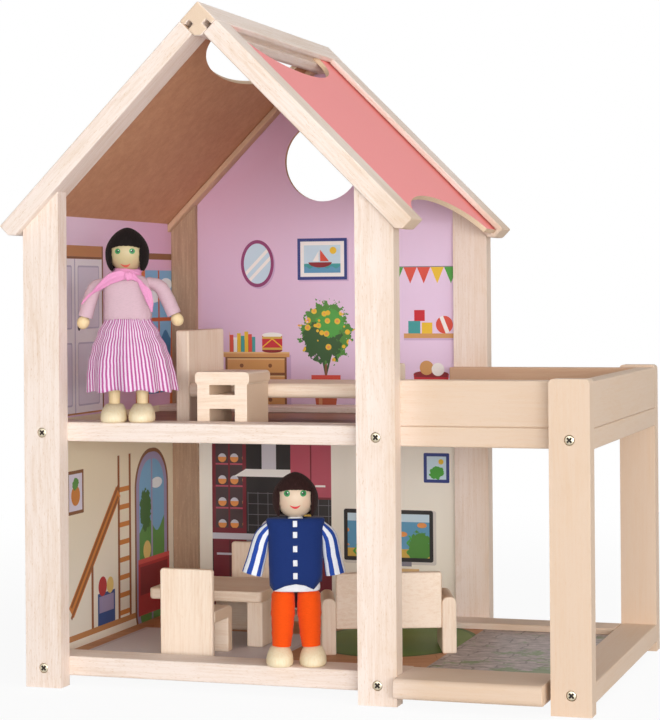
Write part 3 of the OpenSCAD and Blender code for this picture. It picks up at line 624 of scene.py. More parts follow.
def side_wall_print():
    """The side wall: a white dresser and a curtained window above, a slide and a garden window below."""
    b = bpy.context.scene.dollhouse_boards
    s = Shader("side_wall_print", Roughness=0.45, Specular_IOR_Level=0.25)
    x, y, z = s.split(s.place(CORNER))
    f = Face(y, z)
    c = palette(
        white="#FBF9FF", band="#C98C52", dark_band="#8C5A30", line="#C9C5DC", soft="#E9E4F4",
        orange="#C25A22", curtain="#E07B33", blue="#7FB6DC", deep="#2F77A8", cloud="#F2F8FC",
        night="#2A2530", red="#C02E30", lavender="#A79BC0", gold="#E6C987", slide="#D98A3C",
        slide_dark="#9C5A24", yellow="#F2D27A", green="#5E9A44", pot="#B5562F", navy="#31518F")
    top = z > UPPER_Z
    # The upper wall darkens towards the back corner, as painted shade
    wall = s.mix(top, s.mix(z.ease(20, 130) * 0.5, b.cream, linear("#F7E3B0")),
                 s.mix(y.ease(20, 210), linear("#F6DDF3"), linear("#E3B3D2")))

    # Dresser with panelled doors under a wooden cornice, and a window with curtains
    aside, above = ((y - 20) / 38).part() * 38, ((z - 152) / 46).part() * 46
    panel = rounded(aside, above, 19, 23, 15, 19, 1.5)
    inner = rounded(aside, above, 19, 23, 14, 18, 1.0)
    doors = rectangle(y, z, 20, 96, 152, 244)
    view = rectangle(y, z, 158, 214, 158, 238)
    fold = ((y / 4.4).wave() * 0.5 + 0.5) * 0.35
    curtains = rectangle(y, z, 146, 214, 150, 246) * (abs(y - 184) > 17 + (z - 150) * 0.06)
    wall = s.layers(
        wall, f.box(c.band, 18, 98, 151, 252), f.box(c.dark_band, 18, 98, 244, 245.4), (doors, c.white),
        (doors * panel, c.line), (doors * inner, c.soft), (doors * (abs(y - 58) < 0.7), c.line),
        f.dot(c.night, 63.5, 203, 2.0), f.box(c.dark_band, 96, 98, 151, 252), (view, c.blue),
        (view * ((z - 196) < (y / 19).wave() * 3), c.deep), (view * disc(y, z, 176, 222, 13, 5), c.cloud),
        (view * disc(y, z, 196, 229, 10, 4), c.cloud), (view * (abs(y - 184) < 1.2), c.orange),
        (view * (abs(z - 206) < 1.2), c.orange), (curtains, s.mix(fold, c.curtain, c.orange)),
        f.box(c.dark_band, 142, 218, 245, 249))

    # A slide with its ladder, a picture and toys
    chute = slope(y, z, 50, 34, 118, 100, 4.6)
    rim = slope(y, z, 50, 37.4, 118, 103.4, 1.2).most(slope(y, z, 50, 30.6, 118, 96.6, 1.2))
    ladder = rectangle(y, z, 118, 136, 17, 104) * (z / 11).part().within(0.0, 0.28)
    uprights = rectangle(y, z, 117, 120, 17, 122).most(rectangle(y, z, 134, 137, 17, 122))
    wall = s.layers(
        wall, f.box(c.dark_band, 46, 68, 92, 118), f.box(c.soft, 48, 66, 94, 116),
        f.dot(c.slide, 57, 103, 6), (leafy(s, y, z, 57, 110, 5, 4, 2.0), c.green), (ladder, c.slide),
        (uprights, c.slide_dark), (chute, c.slide), (rim, c.slide_dark),
        f.box(c.slide_dark, 78, 81, 17, 58), f.box(c.navy, 87, 112, 17, 40),
        f.box(c.lavender, 89, 110, 28, 38), f.dot(c.red, 94, 44, 6), f.dot(c.yellow, 105, 43.5, 5),
        f.box(c.band, 40, 216, 17, 20.5))

    # A round-topped window on the garden over a red bench
    opening = rounded(y, z, 170, 60, 20, 56, 18)
    wall = s.layers(
        wall, f.slab(c.dark_band, 170, 60, 27, 63, 25), f.slab(c.lavender, 170, 60, 24.5, 60.5, 22.5),
        (opening, c.blue), (opening * disc(y, z, 178, 100, 9, 3.5), c.cloud),
        (opening * ((z - 74) < (y / 31).wave() * 5), c.green),
        (opening * leafy(s, y, z, 160, 84, 10, 15, 5.0), linear("#3B6E2C")),
        (opening * (abs(y - 170) < 1.2), c.lavender), f.box(c.red, 148, 198, 17, 52),
        (rectangle(y, z, 151, 195, 30, 48), linear("#8E1A20")), f.dot(c.yellow, 162, 58, 6),
        (rectangle(y, z, 148, 198, 50, 53), linear("#E2574F")))
    return print_finish(s, x, y, z, wall)


def lower_floor_print():
    """Lower floor: planks, a grey rug, a green oval one, and slabs out on the patio."""
    b = bpy.context.scene.dollhouse_boards
    s = Shader("lower_floor_print", Roughness=0.4, Specular_IOR_Level=0.25)
    x, y, z = s.split(s.place(CORNER))
    floor = planks(s, x * 0.94 + y * 0.34, y * 0.94 - x * 0.34, 12, 78, b.plank, linear("#A9683C"))
    weave = s.noise(x * 1.4, y * 1.4, 0, 2)
    ragged = s.noise(x * 0.1, y * 0.1, 11, 3) * 9
    row = ((y + ragged) / 16).part()
    joint = (((x + ragged) / 24 + ((y + ragged) / 16).whole() * 0.5).part() < 0.05).most(row < 0.07)
    damp = (x - PATIO_X) * 0.0012 - (y - 40) * 0.0006
    moss = (s.noise(x * 0.05, y * 0.05, 4, 4, 0.7) + damp).ease(0.52, 0.62)
    slab = s.noise(x * 0.12, y * 0.3, 8, 4, 0.7).ease(0.3, 0.7)
    stones = s.layers(b.stone, (slab * 0.8, linear("#7A6A66")), (joint * 0.6, linear("#655A50")),
                      (moss * 0.8, linear("#6F8C4C")))
    oval_rug = disc(x, y, 180, 134, 48, 60)
    floor = s.layers(floor,
                     (rectangle(x, y, 14, 132, 26, 138), linear("#CFC4CA")),
                     (rectangle(x, y, 17, 129, 30, 135),
                      s.mix(weave, linear("#EBE5E8"), linear("#CFC7CE"))),
                     (oval_rug, s.mix(weave, linear("#7C9A3C"), linear("#587C2A"))),
                     (oval_rug * (1 - disc(x, y, 180, 134, 45, 57)), linear("#4C6E22")),
                     (x > PATIO_X, stones))
    return print_finish(s, x, y, z, floor)


def upper_floor_print():
    """Upper floor: dark planks, and a paved terrace."""
    b = bpy.context.scene.dollhouse_boards
    s = Shader("upper_floor_print", Roughness=0.4, Specular_IOR_Level=0.25)
    x, y, z = s.split(s.place(CORNER))
    floor = planks(s, x, y, 13, 90, b.upper_plank, linear("#6F463F"))
    tile = ((x / 22).part() < 0.05).most((y / 22).part() < 0.05)
    speckle = s.noise(x * 0.6, y * 0.6, 0, 3)
    paving = s.layers(linear("#C4A78E"), (speckle * 0.5, linear("#A58771")),
                      (tile * 0.6, linear("#80685A")))
    return print_finish(s, x, y, z, s.mix(x > DECK_X, floor, paving))


# The width of two threads of the dolls' cloth, in mm
WEAVE = 0.34


def cloth(name, colour_of, turn, roughness=0.85):
    """Woven cotton: colour_of works out its colour from the shader, and threads cross over it."""
    s = Shader(name, Roughness=roughness, Specular_IOR_Level=0.12, Sheen_Weight=0.08, Sheen_Roughness=0.5)
    x, y, z = s.split(s.place(turn=(0, 0, turn)))
    along = (z / WEAVE).wave()
    across = (x / WEAVE).wave()
    threads = along * across * 0.5 + 0.5
    slub = s.noise(x * 0.5, y * 0.5, z * 4, 2)
    colour = colour_of(s, x, y, z)
    s.give("Base Color", s.layers(colour, (threads * 0.1 + slub.ease(0.45, 0.8) * 0.1, (0, 0, 0))))
    s.give("Roughness", threads * 0.1 + roughness - 0.08)
    s.bump(threads + slub * 0.6, 0.06, 0.5)
    return s.material


def shaded(colour, red, green, blue):
    """The same colour, with less of each of its parts."""
    return (colour[0] * red, colour[1] * green, colour[2] * blue, 1.0)


def plain(colour):
    """A single dye, a little uneven."""
    def colour_of(s, x, y, z):
        uneven = s.noise(x * 0.12, y * 0.12, z * 0.12, 2)
        return s.mix(uneven * 0.18, colour, [part * 0.72 for part in colour])
    return colour_of


def striped(colour, stripe, pitch, share):
    """Stripes along the cloth, from the piece's own UV map in mm."""
    def colour_of(s, x, y, z):
        uv = s.node("ShaderNodeUVMap", {"uv_map": "cloth"})
        u, v = s.split(uv)[:2]
        wobble = s.noise(u * 0.2, v * 0.3, 0, 1) * 0.12
        return s.mix(((u / pitch + wobble).part() < share), colour, stripe)
    return colour_of


def painted_face(name, centre, turn, eyes, mouth, skin, iris, lips):
    """A painted wooden face: two round eyes and a smile on the front of the head."""
    s = Shader(name, Roughness=0.45)
    x, y, z = s.split(s.place(centre, (0, 0, turn)))
    front = y < 0
    aside = abs(x)
    eye_x, eye_z, eye_r = eyes
    mouth_z, mouth_w, mouth_rise = mouth
    grain = s.noise(x * 1.2, y * 1.2, z * 0.2, 3)
    blush = disc(aside, z, 6.6, mouth_z + 2.6, 2.6) * 0.12
    ring = disc(aside, z, eye_x, eye_z, eye_r)
    pupil = disc(aside, z, eye_x, eye_z, eye_r * 0.52)
    glint = disc(aside, z, eye_x - 0.4, eye_z + 0.5, eye_r * 0.16)
    curve = (x * x) / (mouth_w * mouth_w) * mouth_rise
    above = z - mouth_z
    smile = (above > curve - 0.15) * (above < curve * 0.45 + mouth_rise * 0.62) * (aside < mouth_w)
    face = s.layers(s.mix(grain * 0.3, skin, [part * 0.8 for part in skin]),
                    (blush * front, linear("#E8A08A")), (smile * front, lips),
                    (ring * front, iris), (pupil * front, linear("#17462A")), (glint * front, (1, 1, 1)))
    s.give("Base Color", face)
    s.give("Roughness", grain * 0.15 + 0.36)
    s.bump(grain, 0.04, 0.3)
    return s.material


def hair_material(name, centre, colour):
    """Short combed felt, with strands that run down from the crown."""
    s = Shader(name, Roughness=0.8, Specular_IOR_Level=0.12, Sheen_Weight=0.03)
    x, y, z = s.split(s.place(centre))
    turn = y.sum("ARCTAN2", y, x)
    strands = s.noise(turn * 16, (x * x + y * y) ** 0.5 * 0.5, z * 0.12, 3)
    fuzz = s.noise(x * 2.6, y * 2.6, z * 2.6, 2)
    shine = [part * 2.6 + 0.006 for part in colour]
    s.give("Base Color", s.layers(colour, (strands.ease(0.45, 0.8) * 0.4, shine),
                                  (fuzz.ease(0.5, 0.8) * 0.25, (0, 0, 0))))
    s.give("Roughness", fuzz * 0.2 + 0.65)
    s.bump(strands + fuzz * 0.5, 0.35, 0.7)
    return s.material


def turned_wood(name, colour):
    """The dolls' limbs: smooth turned wood with a faint grain."""
    s = Shader(name, Roughness=0.5)
    x, y, z = s.split(s.place())
    grain = s.noise(x * 1.1, y * 1.1, z * 0.25, 3)
    s.give("Base Color", s.mix(grain.ease(0.35, 0.8) * 0.55, colour, shaded(colour, 0.9, 0.78, 0.58)))
    s.give("Roughness", grain * 0.15 + 0.42)
    s.bump(grain, 0.08, 0.35)
    return s.material


# ---- Mesh tools

def link(name, bm, body, *materials, smooth):
    """Makes a mesh a piece of the object that rides on a body, or on none."""
    bmesh.ops.recalc_face_normals(bm, faces=bm.faces)
    mesh = bpy.data.meshes.new(name)
    bm.to_mesh(mesh)
    bm.free()
    piece = bpy.data.objects.new(name, mesh)
    bpy.context.scene.collection.objects.link(piece)
    for material in materials:
        mesh.materials.append(material)
    mesh.shade_smooth()
    mesh.set_sharp_from_angle(angle=math.radians(smooth))
    if body:
        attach(piece, body)
    return piece


def bevelled(piece, width):
    """Eases a piece's sharp edges."""
    ease = piece.modifiers.new("Eased edges", "BEVEL")
    ease.width = width * MM
    ease.segments = 3
    ease.limit_method = "ANGLE"
    ease.angle_limit = math.radians(35)
    ease.harden_normals = False
    even = piece.modifiers.new("Even shading", "WEIGHTED_NORMAL")
    even.keep_sharp = False


def copy_of(node):
    """The merged shape of a solid, as one bmesh of whole faces."""
    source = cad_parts[node]
    bm = bmesh.new()
    bm.from_mesh(source.data)
    bm.transform(source.matrix_world)
    bmesh.ops.remove_doubles(bm, verts=bm.verts, dist=1e-6)
    bmesh.ops.dissolve_limit(bm, angle_limit=math.radians(1), verts=bm.verts, edges=bm.edges)
    return bm


def from_solid(node, body, *materials, width, record_slot, face_material=None):
    """A detailed piece in a solid's place."""
    bm = copy_of(node)
    if face_material:
        for face in bm.faces:
            face.material_index = face_material(face)
    piece = link(node + "_piece", bm, body, *materials, smooth=30)
    if width:
        bevelled(piece, width)
    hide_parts(node)
    return piece


def thicken(piece, depth, offset=-1):
    """Gives a thin piece its thickness in mm."""
    wall = piece.modifiers.new("Thickness", "SOLIDIFY")
    wall.thickness = depth * MM
    wall.offset = offset


def skin_rings(bm, rings, closed=True, uv_size=None):
    """Skins a row of rings, each extruded from the one before it, with a face on both ends if closed."""
    count = len(rings[0])
    row = bmesh.ops.create_circle(bm, segments=count, radius=1)["verts"]
    edges = [edge for edge in bm.edges if edge.verts[0] in row and edge.verts[1] in row]
    order = {vert: i for i, vert in enumerate(row)}
    for vert, co in zip(row, rings[0]):
        vert.co = co
    spots = {vert: (i, 0) for vert, i in order.items()}
    if closed:
        bmesh.ops.contextual_create(bm, geom=edges)
    for level, ring in enumerate(rings[1:], 1):
        grown = bmesh.ops.extrude_edge_only(bm, edges=edges)["geom"]
        fresh = {item for item in grown if isinstance(item, bmesh.types.BMVert)}
        row = [next(e.other_vert(v) for e in v.link_edges if e.other_vert(v) in fresh) for v in row]
        edges = [item for item in grown if isinstance(item, bmesh.types.BMEdge)
                 and item.verts[0] in fresh and item.verts[1] in fresh]
        for i, (vert, co) in enumerate(zip(row, ring)):
            vert.co = co
            spots[vert] = (i, level)
    if closed:
        bmesh.ops.contextual_create(bm, geom=edges)
    if uv_size:
        layer = bm.loops.layers.uv.get("cloth") or bm.loops.layers.uv.new("cloth")
        around, along = uv_size
        for face in bm.faces:
            columns = [spots[loop.vert][0] for loop in face.loops if loop.vert in spots]
            if len(columns) != 4:
                continue
            wraps = max(columns) - min(columns) > 1
            for loop in face.loops:
                i, level = spots[loop.vert]
                if wraps and i == 0:
                    i = count
                loop[layer].uv = (around * i / count, along * level / (len(rings) - 1))


def oval(count, half_x, half_y, z, power, centre=(0, 0)):
    """A ring in mm: an oval at a height, squarer with more power."""
    ring = []
    for i in range(count):
        a = 2 * math.pi * i / count
        cos, sin = math.cos(a), math.sin(a)
        x = half_x * math.copysign(abs(cos) ** (2 / power), cos)
        y = half_y * math.copysign(abs(sin) ** (2 / power), sin)
        ring.append(Vector((centre[0] + x, centre[1] + y, z)))
    return ring


def along_path(path, sizes, count):
    """Rings of an oval section that follow a path; sizes are (half width, half depth)."""
    rings = []
    for i, spot in enumerate(path):
        before = path[max(i - 1, 0)]
        after = path[min(i + 1, len(path) - 1)]
        run = (after - before).normalized()
        side = run.cross(Vector((0, 1, 0))).normalized()
        deep = side.cross(run).normalized()
        wide_r, deep_r = sizes[i]
        rings.append([spot + side * wide_r * math.cos(2 * math.pi * k / count)
                      + deep * deep_r * math.sin(2 * math.pi * k / count) for k in range(count)])
    return rings


def curve_points(points, steps):
    """Smooth points through a few given ones."""
    spots = [Vector(p) for p in points]
    spots = [spots[0] * 2 - spots[1]] + spots + [spots[-1] * 2 - spots[-2]]
    out = []
    for i in range(1, len(spots) - 2):
        p0, p1, p2, p3 = spots[i - 1:i + 3]
        for k in range(steps):
            t = k / steps
            out.append(0.5 * (2 * p1 + (p2 - p0) * t + (2 * p0 - 5 * p1 + 4 * p2 - p3) * t * t
                              + (3 * p1 - p0 - 3 * p2 + p3) * t * t * t))
    out.append(spots[-2])
    return out


def between(values, t):
    """A value part way down a list of even steps, eased from one to the next."""
    place = t * (len(values) - 1)
    i = min(int(place), len(values) - 2)
    mixed = place - i
    mixed = mixed * mixed * (3 - 2 * mixed)
    return values[i] * (1 - mixed) + values[i + 1] * mixed


# ---- Timber

# The grain's direction in each piece of the frame
AXES = {
    "z": ["post_front_left", "post_front_right", "post_rear_left", "post_rear_right",
          "terrace_post_front", "terrace_post_rear"],
    "y": ["ridge_beam", "ground_rail_right", "upper_rail_right", "parapet_right"],
    "x": ["ground_rail_front", "ground_rail_back", "upper_rail_front", "upper_rail_back", "step_board",
          "parapet_front", "parapet_back"],
    "left": ["rafter_front_left", "rafter_rear_left"],
    "right": ["rafter_front_right", "rafter_rear_right"],
}

# The pieces given a darker wood colour, as painted shade
SHADE_DARKENED_PIECES = ("rafter_rear_left", "parapet_back")

# A screw, as rings of so many points, each with a radius and a depth behind the post's face in mm: its
# shank and domed head, and the cross sunk in it, whose radii are shares of its full reach
SCREW_STEPS = 64
SCREW_HEAD = ((1.2, 1.4), (2.7, 1.4), (2.7, 0.3), (2.5, 0.05), (2.1, -0.15))
SCREW_CROSS = ((1, -0.2), (0.8, 0.5), (0.45, 0.8))
CROSS_LONG = 1.75
CROSS_WIDE = 0.55
# How far out the painted shade in the recess goes, and from and to how far behind the post's face
RECESS_SHADE_REACH = 1.9
RECESS_SHADE_DEPTHS = (-0.12, 0.9)


def loose_parts(bm):
    """The lowest and the highest corner of each separate part of a mesh."""
    left = set(bm.verts)
    spots = []
    while left:
        part = {left.pop()}
        edge = list(part)
        while edge:
            near = {e.other_vert(v) for v in edge for e in v.link_edges} & left
            left -= near
            part |= near
            edge = list(near)
        low = Vector([min(v.co[i] for v in part) for i in range(3)])
        high = Vector([max(v.co[i] for v in part) for i in range(3)])
        spots.append((low, high))
    return spots


def cross_reach(angle):
    """How far a cross reaches from its middle at an angle, in mm."""
    aside = (angle + math.pi / 2) % (math.pi / 2) - math.pi / 4
    return min(CROSS_LONG / math.cos(aside), CROSS_WIDE / max(abs(math.sin(aside)), 1e-6))


def make_screws(zinc, dark):
    """Domed cross-head screws, each in the place of the plain solid."""
    plain_screws = copy_of("frame_screws")
    spots = loose_parts(plain_screws)
    plain_screws.free()
    middle = sum((low.y + high.y for low, high in spots)) / len(spots) / 2
    angles = [2 * math.pi * k / SCREW_STEPS for k in range(SCREW_STEPS)]
    bm = bmesh.new()
    for low, high in spots:
        face, into = (low.y, 1) if low.y < middle else (high.y, -1)
        spot = Vector(((low.x + high.x) / 2, face, (low.z + high.z) / 2))
        shank_end = (SCREW_HEAD[0][0], (high.y - low.y) / MM)
        outlines = [([radius] * SCREW_STEPS, depth) for radius, depth in (shank_end, *SCREW_HEAD)]
        outlines += [([share * cross_reach(a) for a in angles], depth) for share, depth in SCREW_CROSS]
        skin_rings(bm, [[spot + Vector((r * math.cos(a), into * depth, r * math.sin(a))) * MM
                         for r, a in zip(reach, angles)] for reach, depth in outlines])
    # The faces in the cross recess get the dark material: painted shade
    for face in bm.faces:
        here = face.calc_center_median()
        low, high = min(spots, key=lambda pair: ((pair[0] + pair[1]) / 2 - here).length)
        aside = here - (low + high) / 2
        sunk = (here.y - low.y if low.y < middle else high.y - here.y) / MM
        within_shade_reach = math.hypot(aside.x, aside.z) < RECESS_SHADE_REACH * MM
        face.material_index = int(within_shade_reach and RECESS_SHADE_DEPTHS[0] < sunk < RECESS_SHADE_DEPTHS[1])
    piece = link("frame_screws_piece", bm, "house", zinc, dark, smooth=40)
    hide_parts("frame_screws")


class DOLLHOUSE_OT_frame(bpy.types.Operator):
    """Make the timber frame: posts, rafters, rails, parapets and step"""
    bl_idname = "dollhouse.frame"
    bl_label = "Timber frame"

    def execute(self, context):
        t = context.scene.dollhouse_timber
        # Darker wood for the pieces at the back, and darker still for the rear left post, as painted shade
        deep = [part * 0.66 for part in t.rear]
        for order, (along, nodes) in enumerate(AXES.items()):
            seed = order * 7.3
            pale = wood("frame_wood_" + along, along, t.light, t.dark, t.end_grain, seed=seed,
                        far=t.terrace)
            shade_wood = wood("rear_wood_" + along, along, t.rear, t.dark, t.end_grain, seed=seed + 5)
            for node in nodes:
                material = shade_wood if node in SHADE_DARKENED_PIECES else pale
                if node == "post_rear_left":
                    material = wood("rear_post_shade_wood", along, deep, t.dark, t.end_grain, seed=seed + 9)
                from_solid(node, "house", material, width=t.eased, record_slot="frame_wood")
        # The screws' recesses are darkened as painted shade
        make_screws(steel(), Shader("screw_recess_shade", Base_Color=linear("#2A211B"), Roughness=0.7).material)
        return {"FINISHED"}


# ---- Boards

class DOLLHOUSE_OT_boards(bpy.types.Operator):
    """Make the roof panels, walls and floors"""
    bl_idname = "dollhouse.boards"
    bl_label = "Walls, floors and roof"

    def execute(self, context):
        plain_face = hardboard()
        edge = board_edge()
        red = roof_paint()

        def roof_face(face):
            aside, up = abs(face.normal.x), abs(face.normal.z)
            broad = abs(aside - up) < 0.05 and aside + up > 1.4 and face.calc_area() > 1e-3
            return 2 if not broad else 0 if face.normal.z > 0 else 1

        def wall_face(direction):
            return lambda face: 0 if face.normal.dot(direction) > 0.9 else 1

        for node in ("roof_panel_left", "roof_panel_right"):
            from_solid(node, "house", red, plain_face, edge, width=0, face_material=roof_face,
                       record_slot="roof_board")
        for node, printed, direction, slot in (
                ("back_wall", back_wall_print(), Vector((0, -1, 0)), "wall_print"),
                ("side_wall", side_wall_print(), Vector((1, 0, 0)), "wall_print"),
                ("ground_floor", lower_floor_print(), Vector((0, 0, 1)), "floor_print"),
                ("upper_floor", upper_floor_print(), Vector((0, 0, 1)), "floor_print")):
            from_solid(node, "house", printed, plain_face, edge, width=0,
                       face_material=wall_face(direction), record_slot=slot)
        return {"FINISHED"}


# ---- Furniture

# Each body's solids, with the direction of their grain
FURNITURE = {
    "bed": [("bed_headboard", "z"), ("bed_base", "x"), ("bed_footboard", "z")],
    "side_table": [("side_table", "x")],
    "dining_table": [("table_top", "x"), ("table_legs", "z")],
    "chair_1": [("chair_1_back", "z"), ("chair_1_seat", "x")],
    "chair_2": [("chair_2_back", "z"), ("chair_2_seat", "x")],
    "sofa": [("sofa_back", "x"), ("sofa_seat", "x"), ("sofa_arms", "z")],
}


class DOLLHOUSE_OT_furniture(bpy.types.Operator):
    """Make the loose wooden furniture"""
    bl_idname = "dollhouse.furniture"
    bl_label = "Furniture"

    def execute(self, context):
        t = context.scene.dollhouse_timber
        woods = {along: wood("furniture_wood_" + along, along, t.board_light, t.board_dark, t.end_grain,
                             ring=0.12, fleck=0.25, seed=21.7) for along in ("x", "z")}
        for body, parts in FURNITURE.items():
            for node, along in parts:
                from_solid(node, body, woods[along], width=t.furniture_eased, record_slot="furniture_wood")
        return {"FINISHED"}


# ---- Dolls

# How high the middles of the heads are over the soles, in mm
WOMAN_HEAD_Z = 96.6
BOY_HEAD_Z = 92.5


def feet_of(who):
    """Where a doll stands: under the middle of its head, on its soles."""
    low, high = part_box(who + "_head")
    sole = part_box({"woman": "woman_leg_left", "boy": "boy_foot_left"}[who])[0].z
    return Vector(((low.x + high.x) / 2, (low.y + high.y) / 2, sole))


def turn_of(who):
    """How far a doll is turned to the right."""
    dolls = bpy.context.scene.dollhouse_dolls
    return dolls.woman_turn if who == "woman" else dolls.boy_turn


def stand(bm, who):
    """Moves a mesh, made in mm over the doll's feet and facing -y, to where the doll stands."""
    bm.transform(Matrix.Translation(feet_of(who)) @ Matrix.Rotation(turn_of(who), 4, "Z")
                 @ Matrix.Scale(MM, 4))


def head_centre(who, z):
    """The middle of a doll's head."""
    return feet_of(who) + Vector((0, 0, z * MM))


def make_head(who, z, material):
    """A turned wooden ball, a little longer than wide."""
    radius = bpy.context.scene.dollhouse_dolls.head
    bm = bmesh.new()
    bmesh.ops.create_uvsphere(bm, u_segments=48, v_segments=32, radius=radius)
    bmesh.ops.scale(bm, verts=bm.verts, vec=(0.985, 0.985, 1.02))
    bmesh.ops.translate(bm, verts=bm.verts, vec=(0, 0, z))
    stand(bm, who)
    piece = link(who + "_head_piece", bm, who + "_head", material, smooth=180)
    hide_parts(who + "_head")


# How far the hair goes over and under the middle of the head in mm, and the power of its outline there
HAIR_UP = (14.1, 1.7)
HAIR_DOWN = (14, 2.5)


def make_hair(who, z, fringe, nape, half_face, wide_hair, material):
    """A bob with a slightly pointed crown, cut over the eyes and round the neck."""
    bm = bmesh.new()
    bmesh.ops.create_uvsphere(bm, u_segments=72, v_segments=44, radius=1)
    for vert in bm.verts:
        x, y, up = vert.co
        flat = math.hypot(x, y) or 1
        tall, power = HAIR_UP if up > 0 else HAIR_DOWN
        wide = wide_hair * (1 - abs(up) ** power) ** (1 / power)
        vert.co = (x / flat * wide, y / flat * wide * (1.0 if y > 0 else 0.97), tall * up)
    for spot, across, cut in (((0, 0, -nape), (0, 0, 1), True), ((0, 0, fringe), (0, 0, 1), False),
                              ((half_face, 0, 0), (1, 0, 0), False),
                              ((-half_face, 0, 0), (1, 0, 0), False)):
        bmesh.ops.bisect_plane(bm, geom=bm.verts[:] + bm.edges[:] + bm.faces[:], plane_co=spot,
                               plane_no=across, clear_inner=cut)
    opening = [face for face in bm.faces if face.calc_center_median().y < 0
               and abs(face.calc_center_median().x) < half_face and face.calc_center_median().z < fringe]
    bmesh.ops.delete(bm, geom=opening, context="FACES")
    for vert in bm.verts:
        below = fringe - vert.co.z
        if vert.is_boundary and vert.co.y < 0 and abs(abs(vert.co.x) - half_face) < 0.01:
            vert.co.x *= 1 - 0.1 * max(0, 1 - below / 3) ** 2 - 0.12 * max(0, below / 14 - 0.3) ** 2
    for vert in bm.verts:
        if vert.is_boundary and vert.co.y < -4 and abs(vert.co.z - fringe) < 0.01:
            vert.co.z += 0.16 * math.sin(vert.co.x * 4.1) - 0.022 * vert.co.x ** 2
    bmesh.ops.translate(bm, verts=bm.verts, vec=(0, 0, z))
    stand(bm, who)
    piece = link(who + "_hair_piece", bm, who + "_head", material, smooth=180)
    thicken(piece, 1.5)
    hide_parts(who + "_hair")


def make_shoe(who, side, x, heel_rise, material, body):
    """A wooden shoe with a round toe, sloping up to the ankle."""
    bm = bmesh.new()
    levels = (0, 0.5, 1.6, 3.6, 5.4, 7.2, 8.8, 9.9, 10.4)
    wide = (6.3, 7.1, 7.5, 7.5, 7.2, 6.5, 5.7, 4.9, 3.6)
    toe = (-12.0, -12.7, -13.0, -12.8, -12.0, -10.2, -8.0, -6.2, -4.4)
    heel = (6.9, 7.6, 8.0, 7.9, 7.6, 7.0, 6.2, 5.3, 3.8)
    rings = []
    for z, half, front, back in zip(levels, wide, toe, heel):
        ring = oval(36, half, (back - front) / 2, z, 2.35, (x, (back + front) / 2))
        for spot in ring:
            if spot.y > 0:
                spot.z = max(spot.z, heel_rise * spot.y / 8)
        rings.append(ring)
    skin_rings(bm, rings)
    stand(bm, who)
    piece = link(f"{who}_shoe_{side}", bm, body, material, smooth=60)
    return piece


def make_limb(name, who, path, sizes, material, body, open_end=False, uv=None, wrinkle=0.0):
    """A tube of cloth or wood along a curved path; an open end is turned in like a cuff."""
    spots = curve_points(path, 5)
    total = len(spots) - 1
    section = []
    for i in range(len(spots)):
        t = i / total
        swell = 1 + wrinkle * math.sin(i * 2.4) * math.sin(math.pi * t)
        section.append([between(part, t) * swell for part in zip(*sizes)])
    rings = along_path(spots, section, 24)
    start, end = rings[0], rings[-1]
    run = (spots[-1] - spots[-2]).normalized()
    for share, step in ((0.86, 0.1), (0.84, -3.0)) if open_end else ((0.8, section[-1][0] * 0.28),):
        rings.append([spots[-1] + (p - spots[-1]) * share + run * step for p in end])
    back = (spots[0] - spots[1]).normalized()
    rings.insert(0, [spots[0] + (p - spots[0]) * 0.72 + back * section[0][0] * 0.35 for p in start])
    bm = bmesh.new()
    skin_rings(bm, rings, uv_size=uv)
    stand(bm, who)
    piece = link(name, bm, body, material, smooth=60)
    return piece


def arm_line(sign, reach, drop):
    """The directions down an arm and out from it, for a hand that is so far out and down."""
    long = math.hypot(reach, drop)
    return Vector((sign * reach / long, 0, -drop / long)), Vector((sign * drop / long, 0, reach / long))


def make_hand(name, who, spot, run, material, body):
    """A wooden ball hand, a little drawn out along the arm."""
    bm = bmesh.new()
    bmesh.ops.create_uvsphere(bm, u_segments=28, v_segments=18, radius=3.8)
    tilt = Vector((0, 0, -1)).rotation_difference(Vector(run).normalized()).to_matrix().to_4x4()
    bmesh.ops.scale(bm, verts=bm.verts, vec=(0.94, 0.9, 1.04))
    bmesh.ops.transform(bm, matrix=Matrix.Translation(spot) @ tilt, verts=bm.verts)
    stand(bm, who)
    piece = link(name, bm, body, material, smooth=180)
    return piece


def make_strip(name, who, points, widths, material, body):
    """A band of cloth along points with the directions across it, with a crown and soft folds."""
    bm = bmesh.new()
    centres = curve_points([p for p, across in points], 8)
    sides = curve_points([across for p, across in points], 8)
    rows = len(centres)
    bmesh.ops.create_grid(bm, x_segments=rows - 1, y_segments=8, size=1)
    for vert in bm.verts:
        i = round((vert.co.x + 1) / 2 * (rows - 1))
        v = vert.co.y
        t = i / (rows - 1)
        side = sides[i].normalized()
        run = (centres[min(i + 1, rows - 1)] - centres[max(i - 1, 0)]).normalized()
        out = side.cross(run).normalized()
        if out.y > 0:
            out = -out
        half = between(widths, t)
        vert.co = centres[i] + side * v * half + out * (0.8 * (1 - v * v) + 0.25 * math.sin(v * 7 + t * 5))
    stand(bm, who)
    piece = link(name, bm, body, material, smooth=180)
    thicken(piece, 0.55, offset=0)
    rounder = piece.modifiers.new("Soft folds", "SUBSURF")
    rounder.levels = rounder.render_levels = 1
    return piece


def make_shell(name, who, rings, material, smooth=180, closed=True, uv_size=None):
    """A garment skinned over rings, in the place of the solid of that name."""
    bm = bmesh.new()
    skin_rings(bm, rings, closed, uv_size)
    stand(bm, who)
    piece = link(name + "_piece", bm, who, material, smooth=smooth)
    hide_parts(name)
    return piece


def cloth_area(piece):
    """The one-sided area of a thin piece, in square metres."""
    return sum(face.area for face in piece.data.polygons)


